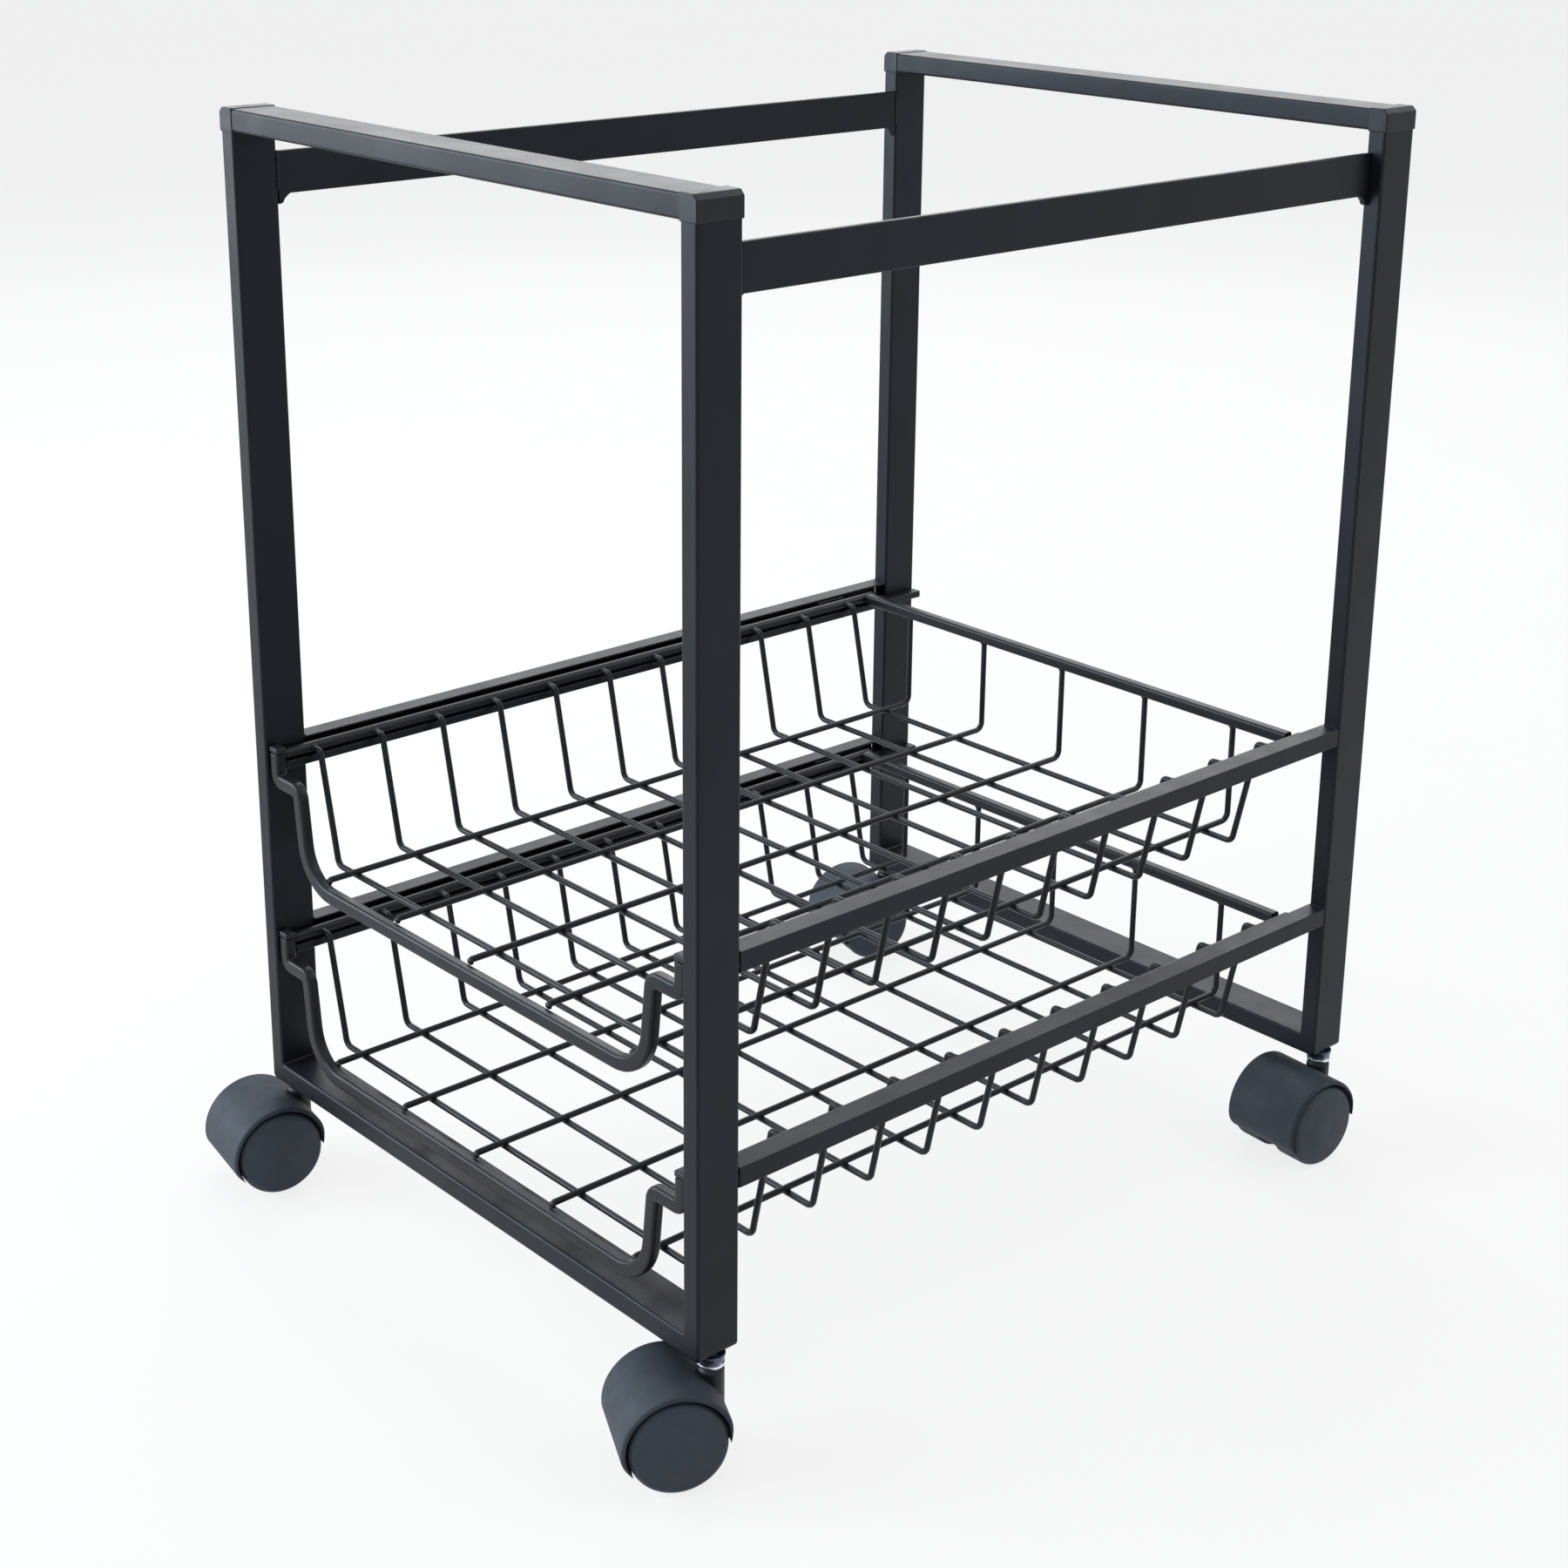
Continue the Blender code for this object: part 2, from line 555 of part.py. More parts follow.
def make_wire_grid(level):
    """Cross wires bent to a tray, with long wires welded on them, turned up at the back."""
    rods = rod_height(level)
    bar_top = rods - BASKET_DROP + BAR_HEIGHT / 2
    long_height = bar_top + FIT_GAP + WIRE_DIAMETER / 2
    pitch_down = WIRE_DIAMETER * (1 - WELD_SINK_SHARE)
    cross_height = long_height - pitch_down
    start_x = ROD_X - ROD_DIAMETER / 2 - FIT_GAP
    shoulder_x = start_x - WIRE_SHOULDER - WIRE_DIAMETER / 2
    corners = [
        (start_x, rods), (shoulder_x, rods), (shoulder_x - WIRE_LEAN, cross_height),
        (WIRE_LEAN - shoulder_x, cross_height), (-shoulder_x, rods), (-start_x, rods),
    ]
    bends = (WIRE_TOP_BEND, WIRE_BEND, WIRE_BEND, WIRE_TOP_BEND)
    tray_line = bent_line(corners, bends, WIRE_ARC_STEP)
    first = BAR_BACK + FIRST_WIRE_INSET
    pitch = (BACK_BAR_Y - LAST_WIRE_INSET - first) / (CROSS_WIRES - 1)
    crosses = [[(point.x, first + index * pitch, point.y) for point in tray_line]
               for index in range(CROSS_WIRES)]
    top = rod_height(level) + (BACK_BAR_SIZE - ROD_DIAMETER) / 2 - BACK_BAR_SIZE / 2 - FIT_GAP
    long_corners = [(BAR_BACK, long_height), (BACK_BAR_Y, long_height), (BACK_BAR_Y, top)]
    long_line = bent_line(long_corners, (WIRE_BEND,), WIRE_ARC_STEP)
    outer = shoulder_x - WIRE_LEAN - LONG_WIRE_INSET
    spacing = 2 * outer / (LONG_WIRES - 1)
    longs = [[(index * spacing - outer, point.x, point.y) for point in long_line]
             for index in range(LONG_WIRES)]
    wires = tube_mesh("cross_wires", crosses, WIRE_DIAMETER)
    grid = add_object(f"basket_{level}_wire_grid", wires, WIRE_COAT)
    cut(grid, tube_mesh("long_wires", longs, WIRE_DIAMETER), (0, 0, 0), "UNION")


def make_glide(level, side):
    """The block beside a side rod that runs inside the slide rail's slot."""
    height = SLIDE_HEIGHT - 2 * SLIDE_WALL - 2 * FIT_GAP
    mesh = box_mesh("glide", (GLIDE_WIDTH, GLIDE_LENGTH, height))
    inner = ROD_X + ROD_DIAMETER / 2 + FIT_GAP
    height_middle = LEVELS[level] - SLIDE_HEIGHT / 2
    place = ((inner + GLIDE_WIDTH / 2) * SIDES[side], BACK_BAR_Y - GLIDE_INSET, height_middle)
    glide = add_object(f"basket_{level}_glide_{side}", mesh, GLIDE_PLASTIC, place)
    soften(glide, GLIDE_EDGE)


def make_stem(corner, place):
    """The metal stem under a leg: a spigot up the leg, a cone, a flange and a pivot below."""
    flange_low = NECK_HEIGHT + SWIVEL_GAP
    flange_top = flange_low + FLANGE_HEIGHT
    profile = [
        (0.0, FOOT_HEIGHT + STEM_LENGTH), (STEM_RADIUS, FOOT_HEIGHT + STEM_LENGTH),
        (STEM_RADIUS, FOOT_HEIGHT - FIT_GAP), (STEM_CONE_TOP_RADIUS, FOOT_HEIGHT - FIT_GAP),
        (STEM_CONE_LOW_RADIUS, flange_top), (FLANGE_RADIUS, flange_top), (FLANGE_RADIUS, flange_low),
        (STEM_RADIUS, flange_low), (STEM_RADIUS, NECK_HEIGHT - STEM_SOCKET_DEPTH + FIT_GAP),
        (0.0, NECK_HEIGHT - STEM_SOCKET_DEPTH + FIT_GAP),
    ]
    turned_object(f"caster_{corner}_stem", profile, STEM_STEPS, STEM_METAL, place)


def arc_points(radius, start, stop, middle):
    """Points on an arc in degrees round a middle point."""
    count = max(2, round(abs(radians(stop - start)) / ARC_STEP) * 3)
    return [(middle[0] + radius * cos(radians(start + (stop - start) * index / count)),
             middle[1] + radius * sin(radians(start + (stop - start) * index / count)))
            for index in range(count + 1)]


def make_hood(corner, pivot):
    """The hood over two wheels, with its middle wall, neck, axle hole and stem socket."""
    middle = (-TRAIL, WHEEL_RADIUS)
    outline = arc_points(HOOD_RADIUS, HOOD_FRONT_ANGLE, HOOD_BACK_ANGLE, middle)
    mesh = plate_mesh("hood", outline, HOOD_WIDTH, "YZ")
    hood = add_object(f"caster_{corner}_hood", mesh, HOOD_PLASTIC, (0, 0, 0), pivot)
    neck = cylinder_mesh("neck", NECK_RADIUS, NECK_HEIGHT - WHEEL_RADIUS, steps=NECK_STEPS)
    cut(hood, neck, (0, 0, (NECK_HEIGHT + WHEEL_RADIUS) / 2), "UNION")
    well = (HOOD_WIDTH - WEB_THICKNESS) / 2 + OVERRUN
    for hand in (-1, 1):
        hollow = cylinder_mesh("wheel_well", WHEEL_RADIUS + WHEEL_CLEARANCE, well, "X", WHEEL_STEPS)
        cut(hood, hollow, (hand * (WEB_THICKNESS + well) / 2, *middle))
    cut(hood, cylinder_mesh("axle_hole", AXLE_RADIUS + FIT_GAP, 2 * WEB_THICKNESS, "X"), (0, *middle))
    socket = cylinder_mesh("stem_socket", STEM_RADIUS + FIT_GAP, STEM_SOCKET_DEPTH + OVERRUN)
    cut(hood, socket, (0, 0, NECK_HEIGHT + (OVERRUN - STEM_SOCKET_DEPTH) / 2))


def make_axle(corner, pivot):
    """The axle through the hood's middle wall, with an end in each wheel."""
    length = WEB_THICKNESS + 2 * (SIDE_CLEARANCE + AXLE_REACH)
    mesh = cylinder_mesh("axle", AXLE_RADIUS, length, "X")
    add_object(f"caster_{corner}_axle", mesh, STEM_METAL, (0, -TRAIL, WHEEL_RADIUS), pivot)


def make_wheel(corner, hand_name, hand, pivot):
    """One wheel: a closed, slightly domed outer side, a round-edged tread and a blind bore."""
    place = (hand * WHEEL_INNER, -TRAIL, WHEEL_RADIUS)
    name = f"caster_{corner}_wheel_{hand_name}"
    wheel = turned_object(name, wheel_profile(), WHEEL_STEPS, WHEEL_PLASTIC, place, pivot)
    wheel.rotation_euler = (0, hand * pi / 2, 0)


def make_caster(end, side):
    """One twin-wheel caster under a leg."""
    corner = f"{end}_{side}"
    foot = (LEG_X * SIDES[side], LEG_Y * ENDS[end], 0)
    make_stem(corner, foot)
    pivot = bpy.data.objects.new(f"caster_{corner}_pivot", None)
    PARTS.objects.link(pivot)
    pivot.parent = CART
    pivot.location = foot
    pivot.rotation_euler = (0, 0, radians(CASTER_TURNS[corner]))
    make_hood(corner, pivot)
    make_axle(corner, pivot)
    make_wheel(corner, "outer", 1, pivot)
    make_wheel(corner, "inner", -1, pivot)


def make_frame():
    """The welded frame."""
    for end in ENDS:
        make_cross_rail("top_rail", end, FRAME_TOP - RAIL_HEIGHT / 2)
        make_cross_rail("bottom_rail", end, FOOT_HEIGHT + RAIL_HEIGHT / 2)
        for side in SIDES:
            make_leg(end, side)
            make_corner_cap(end, side)
    for side in SIDES:
        make_hanging_rail(side)
        for level in LEVELS:
            make_slide_rail(level, side)
            make_runner(level, side)


def make_basket(level):
    """One sliding wire basket."""
    make_front_bar(level)
    make_back_bar(level)
    make_wire_grid(level)
    for side in SIDES:
        make_side_rod(level, side)
        make_glide(level, side)
        make_end_plug(level, side)


make_frame()
for level_name in LEVELS:
    make_basket(level_name)
for end_name in ENDS:
    for side_name in SIDES:
        make_caster(end_name, side_name)
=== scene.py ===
import json
from math import cos, pi, radians, sin

import bmesh
import bpy
from mathutils import Matrix, Vector

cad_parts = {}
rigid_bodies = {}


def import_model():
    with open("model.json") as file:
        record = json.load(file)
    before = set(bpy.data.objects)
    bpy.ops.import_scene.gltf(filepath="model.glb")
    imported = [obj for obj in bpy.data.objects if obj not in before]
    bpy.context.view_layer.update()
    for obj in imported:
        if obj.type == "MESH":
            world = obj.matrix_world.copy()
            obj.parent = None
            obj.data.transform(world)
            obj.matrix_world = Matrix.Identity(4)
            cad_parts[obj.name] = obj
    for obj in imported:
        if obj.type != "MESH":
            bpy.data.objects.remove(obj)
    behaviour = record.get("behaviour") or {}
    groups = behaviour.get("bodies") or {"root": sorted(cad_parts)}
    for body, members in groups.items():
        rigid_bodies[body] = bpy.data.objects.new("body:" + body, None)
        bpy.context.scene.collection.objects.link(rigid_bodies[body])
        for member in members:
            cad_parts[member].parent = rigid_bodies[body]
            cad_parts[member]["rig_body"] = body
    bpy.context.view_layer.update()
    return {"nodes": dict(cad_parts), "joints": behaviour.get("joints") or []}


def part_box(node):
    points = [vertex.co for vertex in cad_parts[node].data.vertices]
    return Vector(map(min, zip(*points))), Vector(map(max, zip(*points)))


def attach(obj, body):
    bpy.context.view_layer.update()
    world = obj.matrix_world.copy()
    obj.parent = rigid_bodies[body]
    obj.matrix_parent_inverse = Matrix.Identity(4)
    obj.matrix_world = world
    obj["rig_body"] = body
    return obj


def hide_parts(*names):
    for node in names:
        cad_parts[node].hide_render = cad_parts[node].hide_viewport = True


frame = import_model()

NODES = frame["nodes"]
JOINTS = {joint["name"]: joint for joint in frame["joints"]}
SIDES = {"left": -1, "right": 1}
ENDS = ("front", "back")
LEVELS = ("upper", "lower")

# Sizes in metres, which follow the CAD model
FIT_GAP = 0.0003

# Tubes and rails of the frame
TUBE_EDGE = 0.0013
TUBE_INSIDE_CORNER = 0.0012
FOOT_CORNER = 0.0024
BAR_END_EDGE = 0.0006
RUNNER_EDGE = 0.0006
CHANNEL_WALL = 0.0012
GUSSET = 0.0060
GUSSET_START = (0.35, 0.10)
GUSSET_GROWTH = (0.65, 0.68)

# Corner pieces
CAP_PROUD = 0.0004
CAP_CHAMFER = 0.0021
CAP_REACH = 0.0015

# Baskets' wires
WIRE_RADIUS = 0.0015
WIRE_TOP_BEND = 0.0021
WIRE_BEND = 0.0042
WIRE_SHOULDER = 0.0051
WIRE_LEAN = 0.012
WIRE_SINK = 0.00084
CROSS_WIRES = 11
LONG_WIRES = 5
FIRST_WIRE_INSET = 0.0157
LAST_WIRE_INSET = 0.017
LONG_WIRE_INSET = 0.01665
CROSS_WIRE_END_EDGE = 0.0003
LONG_WIRE_END_EDGE = 0.0004

# Baskets' bars, rods and glides
BAR_HEIGHT = 0.007
BAR_DEPTH = 0.0055
BAR_EDGE = 0.0016
BAR_STEP_DROP = 0.0170
BAR_STEP_LENGTH = 0.0185
BAR_ARM_LEAN = 0.005
BAR_TOP_BEND = 0.0045
BAR_LOW_BEND = 0.022
BENT_BAR_END_EDGE = 0.0005
BACK_BAR_EDGE = 0.0016
ROD_END_EDGE = 0.0009
GLIDE_SLOT_HALF = 0.0010
GLIDE_SLOT_DEEP = 0.0016

# Wheels
TRAIL = 0.018
WHEEL_RADIUS = 0.021
WHEEL_EDGE = 0.0030
WHEEL_CROWN = 0.0012
WHEEL_INNER = 0.005
WHEEL_OUTER = 0.02305
WHEEL_SEAM_DROP = 0.0012
WHEEL_SEAM_GROOVE = 0.0003
WHEEL_SEAM_STEP = 0.00002
AXLE_RADIUS = 0.0025
AXLE_HALF = 0.016
AXLE_BEVEL = 0.0005

# A wheel's back as (radius, height): the tread's edge, a shallow ring, the hub and its bore
WHEEL_BACK = [
    (WHEEL_RADIUS, 0.0012), (WHEEL_RADIUS - 0.0004, 0.0004), (WHEEL_RADIUS - 0.0012, 0.0),
    (WHEEL_RADIUS - 0.0040, 0.0), (WHEEL_RADIUS - 0.0044, 0.0006), (0.0080, 0.0006),
    (0.0076, 0.0), (0.0029, 0.0), (0.0029, 0.004), (0.0, 0.004),
]

# Hoods, with the share of its thickness that a shell keeps at its ends
HOOD_RADIUS = 0.0245
HOOD_INNER = 0.0213
HOOD_HALF = 0.0215
HOOD_EDGE = 0.0017
HOOD_CROWN = 0.00025
HOOD_GROOVE = 0.0224
HOOD_GROOVE_DEEP = 0.0032
HOOD_RIM_CHAMFER = 0.0004
HOOD_BACK_ANGLE = radians(207)
HOOD_LEAD_TAPER = radians(30)
HOOD_TRAIL_TAPER = radians(24)
HOOD_END_SHARE = 0.22
WEB_HALF = 0.0045
WEB_OVERLAP = 0.0004

# Necks and stems
NECK_RADIUS = 0.0057
NECK_TOP = 0.0445
NECK_SIDE_HEIGHTS = (WHEEL_RADIUS, 0.030, 0.038, NECK_TOP - 0.0016)
NECK_RIM = [(NECK_RADIUS - 0.0002, NECK_TOP - 0.0013), (NECK_RADIUS - 0.0010, NECK_TOP - 0.0001),
            (NECK_RADIUS - 0.0012, NECK_TOP), (0.0, NECK_TOP)]
FLANGE_LOW = 0.0453
FLANGE_TOP = 0.0466
FLANGE_RADIUS = 0.0059
FLANGE_LIP = 0.0002
CONE_LOW_RADIUS = 0.0054
CONE_TOP_RADIUS = 0.0062
STEM_RADIUS = 0.0030
STEM_BEVEL = 0.0004

# Bevels as (width, segments, least angle in degrees)
TUBE_BEVEL = (TUBE_EDGE, 4, 50)
CAP_BEVEL = (0.0006, 3, 30)
FLAT_BAR_BEVEL = (0.0007, 3, 50)
CHANNEL_BEVEL = (0.0004, 3, 50)
PLUG_BEVEL = (0.0009, 4, 30)
GLIDE_BEVEL = (0.0005, 3, 40)
WEB_BEVEL = (0.0004, 2, 50)

# Weld lumps as half lengths along X, Y and Z
SEAM_RIPPLE = (0.0010, 0.0011, 0.0008)
FLAT_BAR_RIPPLE = (0.0006, 0.0009, 0.0011)
ROD_WELD = (0.0011, 0.0020, 0.0017)
CROSSING_WELD = (0.0019, 0.0019, 0.0007)
BACK_WELD = (0.0022, 0.0022, 0.0012)
FRONT_WELD = (0.0021, 0.0011, 0.0016)
FRONT_WELD_DROP = 0.0008
WELD_OVERLAP = 0.0002

# Rows of weld ripples: how many, where the first one stands and how far apart they are
SEAM_RIPPLES, SEAM_FIRST, SEAM_PITCH = 6, 0.0014, 0.0013
FLAT_BAR_RIPPLES, FLAT_BAR_FIRST, FLAT_BAR_PITCH = 9, 0.0020, 0.0018
SEAM_SINK = 0.0001


def middle(node):
    """Middle of a CAD node's box."""
    low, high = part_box(node)
    return (low + high) / 2


CART = Vector((
    (middle("leg_front_left").x + middle("leg_front_right").x) / 2,
    (middle("leg_front_left").y + middle("leg_back_left").y) / 2,
    0.0,
))


# Nodes and materials

PAINT_IOR = 1.315
PLASTIC_IOR = 1.35
COOL_TINT = (0.74, 0.87, 1.0, 1.0)
NOISE_LOW, NOISE_HIGH = 0.3, 0.7


class Graph:
    """Short ways to add nodes to one material."""

    def __init__(self, name):
        self.material = bpy.data.materials.new(name)
        self.material.use_nodes = True
        self.tree = self.material.node_tree
        self.shader = self.tree.nodes["Principled BSDF"]
        self.coords = self.tree.nodes.new("ShaderNodeTexCoord").outputs["Object"]

    def add(self, kind, **settings):
        node = self.tree.nodes.new(kind)
        for key, value in settings.items():
            setattr(node, key, value)
        return node

    def link(self, source, target):
        self.tree.links.new(source, target)

    def noise(self, scale, detail, roughness=0.55, stretch=(1, 1, 1)):
        mapping = self.add("ShaderNodeMapping")
        mapping.inputs["Scale"].default_value = stretch
        self.link(self.coords, mapping.inputs["Vector"])
        node = self.add("ShaderNodeTexNoise")
        node.inputs["Scale"].default_value = scale
        node.inputs["Detail"].default_value = detail
        node.inputs["Roughness"].default_value = roughness
        self.link(mapping.outputs["Vector"], node.inputs["Vector"])
        return node.outputs["Fac"]

    def ramp(self, factor, low, high, start=NOISE_LOW, end=NOISE_HIGH):
        node = self.add("ShaderNodeValToRGB")
        first, last = node.color_ramp.elements
        first.position, last.position = start, end
        first.color, last.color = (*low, 1), (*high, 1)
        self.link(factor, node.inputs["Fac"])
        return node.outputs["Color"]

    def span(self, factor, low, high):
        node = self.add("ShaderNodeMapRange")
        node.inputs["From Min"].default_value = NOISE_LOW
        node.inputs["From Max"].default_value = NOISE_HIGH
        node.inputs["To Min"].default_value = low
        node.inputs["To Max"].default_value = high
        self.link(factor, node.inputs["Value"])
        return node.outputs["Result"]

    def bump(self, heights):
        """Chain of bumps from (height socket, strength, depth in metres)."""
        normal = None
        for height, strength, depth in heights:
            node = self.add("ShaderNodeBump")
            node.inputs["Strength"].default_value = strength
            node.inputs["Distance"].default_value = depth
            self.link(height, node.inputs["Height"])
            if normal:
                self.link(normal, node.inputs["Normal"])
            normal = node.outputs["Normal"]
        self.link(normal, self.shader.inputs["Normal"])

    def value(self, name, number):
        self.shader.inputs[name].default_value = number

    def feed(self, name, socket):
        self.link(socket, self.shader.inputs[name])


def painted(name, dark, light, rough_low, rough_high, peel, peel_depth):
    """Powder coat: slight mottling, orange peel, and a duller bloom in places."""
    g = Graph(name)
    tone = g.ramp(g.noise(22, 4), dark, light)
    speck = g.ramp(g.noise(2600, 1), (0.75, 0.75, 0.76), (1.12, 1.12, 1.12), 0.35, 0.75)
    blend = g.add("ShaderNodeMix", data_type="RGBA", blend_type="MULTIPLY")
    blend.inputs[0].default_value = 0.55
    g.link(tone, blend.inputs[6])
    g.link(speck, blend.inputs[7])
    g.feed("Base Color", blend.outputs[2])
    g.feed("Roughness", g.span(g.noise(48, 5), rough_low, rough_high))
    fine, coarse = g.noise(peel, 2, 0.5), g.noise(peel * 0.22, 2)
    g.bump([(fine, 0.22, peel_depth), (coarse, 0.12, peel_depth * 2)])
    g.value("IOR", PAINT_IOR)
    g.value("Specular Tint", COOL_TINT)
    return g.material


def moulded(name, dark, light, rough_low, rough_high, grain):
    """Moulded plastic: fine spark-eroded grain over a soft mottling."""
    g = Graph(name)
    g.feed("Base Color", g.ramp(g.noise(60, 5, 0.6), dark, light))
    g.feed("Roughness", g.span(g.noise(130, 4), rough_low, rough_high))
    g.bump([(g.noise(grain, 2, 0.6), 0.30, 0.00006), (g.noise(grain * 0.16, 2), 0.10, 0.00012)])
    g.value("IOR", PLASTIC_IOR)
    g.value("Specular Tint", COOL_TINT)
    return g.material


def plated(name, dark, light, rough_low, rough_high):
    """Zinc plate: metal with turned lines and cloudy stains."""
    g = Graph(name)
    g.value("Metallic", 1.0)
    g.feed("Base Color", g.ramp(g.noise(260, 4), dark, light))
    g.feed("Roughness", g.span(g.noise(420, 3), rough_low, rough_high))
    g.bump([(g.noise(900, 2, 0.5, (0.2, 0.2, 3.0)), 0.20, 0.00003)])
    return g.material


FRAME_PAINT = painted(
    "frame_coat", (0.0042, 0.0052, 0.0074), (0.0080, 0.0098, 0.0134), 0.36, 0.46, 1500, 0.00004)
WELD_PAINT = painted(
    "weld_coat", (0.0070, 0.0085, 0.0115), (0.0120, 0.0140, 0.0180), 0.38, 0.50, 900, 0.00010)
WIRE_COAT = painted(
    "wire_coat_gloss", (0.0080, 0.0085, 0.0098), (0.0140, 0.0148, 0.0170), 0.28, 0.40, 1900, 0.00003)
CAP_PLASTIC = moulded(
    "cap_moulding", (0.0095, 0.0110, 0.0130), (0.0160, 0.0180, 0.0205), 0.38, 0.50, 2400)
GLIDE_PLASTIC = moulded(
    "glide_moulding", (0.015, 0.015, 0.017), (0.025, 0.025, 0.028), 0.38, 0.50, 2200)
HOOD_PLASTIC = moulded(
    "hood_moulding", (0.027, 0.034, 0.045), (0.038, 0.046, 0.059), 0.58, 0.70, 2600)
WHEEL_PLASTIC = moulded(
    "wheel_moulding", (0.037, 0.045, 0.058), (0.048, 0.057, 0.071), 0.46, 0.60, 2600)
TREAD_PLASTIC = moulded(
    "tread_moulding", (0.016, 0.019, 0.025), (0.027, 0.031, 0.038), 0.55, 0.72, 1300)
NECK_PLASTIC = moulded(
    "neck_moulding", (0.009, 0.010, 0.012), (0.015, 0.016, 0.019), 0.36, 0.48, 2400)
STEM_METAL = plated(
    "stem_plate", (0.62, 0.64, 0.68), (0.82, 0.84, 0.88), 0.20, 0.34)
# The cone's plate is the stem's plate painted much darker and bluer: painted shade under the leg and
# a painted bluish reflection.
CONE_METAL_PAINTED_SHADE = plated(
    "cone_plate_painted_shade", (0.070, 0.092, 0.128), (0.125, 0.155, 0.205), 0.30, 0.44)


# Mesh making

def arc_between(before, corner, after, radius, count):
    """Points of an arc that rounds a corner of a route."""
    corner = Vector(corner)
    to_before = (Vector(before) - corner).normalized()
    to_after = (Vector(after) - corner).normalized()
    half = to_before.angle(to_after) / 2
    centre = corner + (to_before + to_after).normalized() * radius / sin(half)
    reach = radius * cos(half) / sin(half)
    first = corner + to_before * reach - centre
    last = corner + to_after * reach - centre
    turn = pi - 2 * half
    points = []
    for index in range(count + 1):
        share = index / count
        points.append(centre + first * sin((1 - share) * turn) / sin(turn)
                      + last * sin(share * turn) / sin(turn))
    return points


def rounded_route(corners, radii, count):
    """A route whose corners are bent to given radii, each in count steps."""
    points = [Vector(corners[0])]
    for before, corner, after, radius in zip(corners, corners[1:], corners[2:], radii):
        points += arc_between(before, corner, after, radius, count)
    points.append(Vector(corners[-1]))
    return points


def round_section(radius, sides):
    """Section of a round wire, made smaller by an inset."""
    def section(inset):
        angles = [2 * pi * k / sides for k in range(sides)]
        return [((radius - inset) * cos(angle), (radius - inset) * sin(angle)) for angle in angles]
    return section


def flat_section(across, deep, edge):
    """Section of a tube with rounded edges, made smaller by an inset."""
    steps, least_radius = 4, 0.0002

    def section(inset):
        half_a, half_d = across / 2 - inset, deep / 2 - inset
        radius = max(edge - inset, least_radius)
        points = []
        for turn, (sign_a, sign_d) in enumerate(((1, 1), (-1, 1), (-1, -1), (1, -1))):
            for k in range(steps + 1):
                angle = pi / 2 * (turn + k / steps)
                points.append((sign_a * (half_a - radius) + radius * cos(angle),
                               sign_d * (half_d - radius) + radius * sin(angle)))
        return points
    return section


def sweep(shape, route, section, side_axis, end_edge, end_steps=3):
    """Sweep a section along a flat route into a bmesh, with rounded ends.

    side_axis is the direction square to the route's plane.
    """
    side_axis = Vector(side_axis).normalized()
    last = len(route) - 1
    stations = []
    for index, point in enumerate(route):
        ahead = route[min(index + 1, last)] - point
        behind = point - route[max(index - 1, 0)]
        if index in (0, last):
            along, stretch = (ahead + behind).normalized(), 1.0
        else:
            along = (ahead.normalized() + behind.normalized()).normalized()
            stretch = 1 / along.dot(ahead.normalized())
        stations.append((point, along, stretch, 0.0))
    (start, start_way, _, _), (finish, finish_way, _, _) = stations[0], stations[-1]
    first_caps, last_caps = [], []
    for k in range(end_steps, 0, -1):
        angle = pi / 2 * k / end_steps
        inset, back = end_edge * (1 - cos(angle)), end_edge * (1 - sin(angle))
        first_caps.append((start + start_way * back, start_way, 1.0, inset))
        last_caps.insert(0, (finish - finish_way * back, finish_way, 1.0, inset))
    body = [(start + start_way * end_edge, start_way, 1.0, 0.0)] + stations[1:-1]
    body.append((finish - finish_way * end_edge, finish_way, 1.0, 0.0))
    rings = []
    for point, along, stretch, inset in first_caps + body + last_caps:
        across = side_axis.cross(along).normalized()
        rings.append([shape.verts.new(point + across * a * stretch + side_axis * b)
                      for a, b in section(inset)])
    join_rings(shape, rings)


def join_rings(shape, rings):
    """Skin a row of rings and close its ends."""
    count = len(rings[0])
    for one, two in zip(rings, rings[1:]):
        for k in range(count):
            n = (k + 1) % count
            face = shape.faces.new((one[k], one[n], two[n], two[k]))
            face.smooth = True
    shape.faces.new(rings[0][::-1])
    shape.faces.new(rings[-1])


def revolve(shape, profile, steps, place):
    """Turn (radius, height) points round a matrix's Z axis into a bmesh."""
    angles = [2 * pi * k / steps for k in range(steps)]
    rings = []
    for radius, height in profile:
        if radius == 0:
            points = [(0, 0, height)]
        else:
            points = [(radius * cos(angle), radius * sin(angle), height) for angle in angles]
        rings.append([shape.verts.new(place @ Vector(point)) for point in points])
    for one, two in zip(rings, rings[1:]):
        for k in range(steps):
            n = (k + 1) % steps
            if len(one) == 1:
                face = shape.faces.new((one[0], two[k], two[n]))
            elif len(two) == 1:
                face = shape.faces.new((one[k], two[0], one[n]))
            else:
                face = shape.faces.new((one[k], two[k], two[n], one[n]))
            face.smooth = True


def outline_solid(shape, outline, plane, low, high):
    """A flat outline given thickness between two places along the axis square to its plane."""
    def put(a, b, c):
        return {"XZ": (a, c, b), "YZ": (c, a, b)}[plane]
    near = [shape.verts.new(put(a, b, low)) for a, b in outline]
    far = [shape.verts.new(put(a, b, high)) for a, b in outline]
    count = len(outline)
    shape.faces.new(near)
    shape.faces.new(far[::-1])
    for k in range(count):
        n = (k + 1) % count
        shape.faces.new((near[k], far[k], far[n], near[n]))


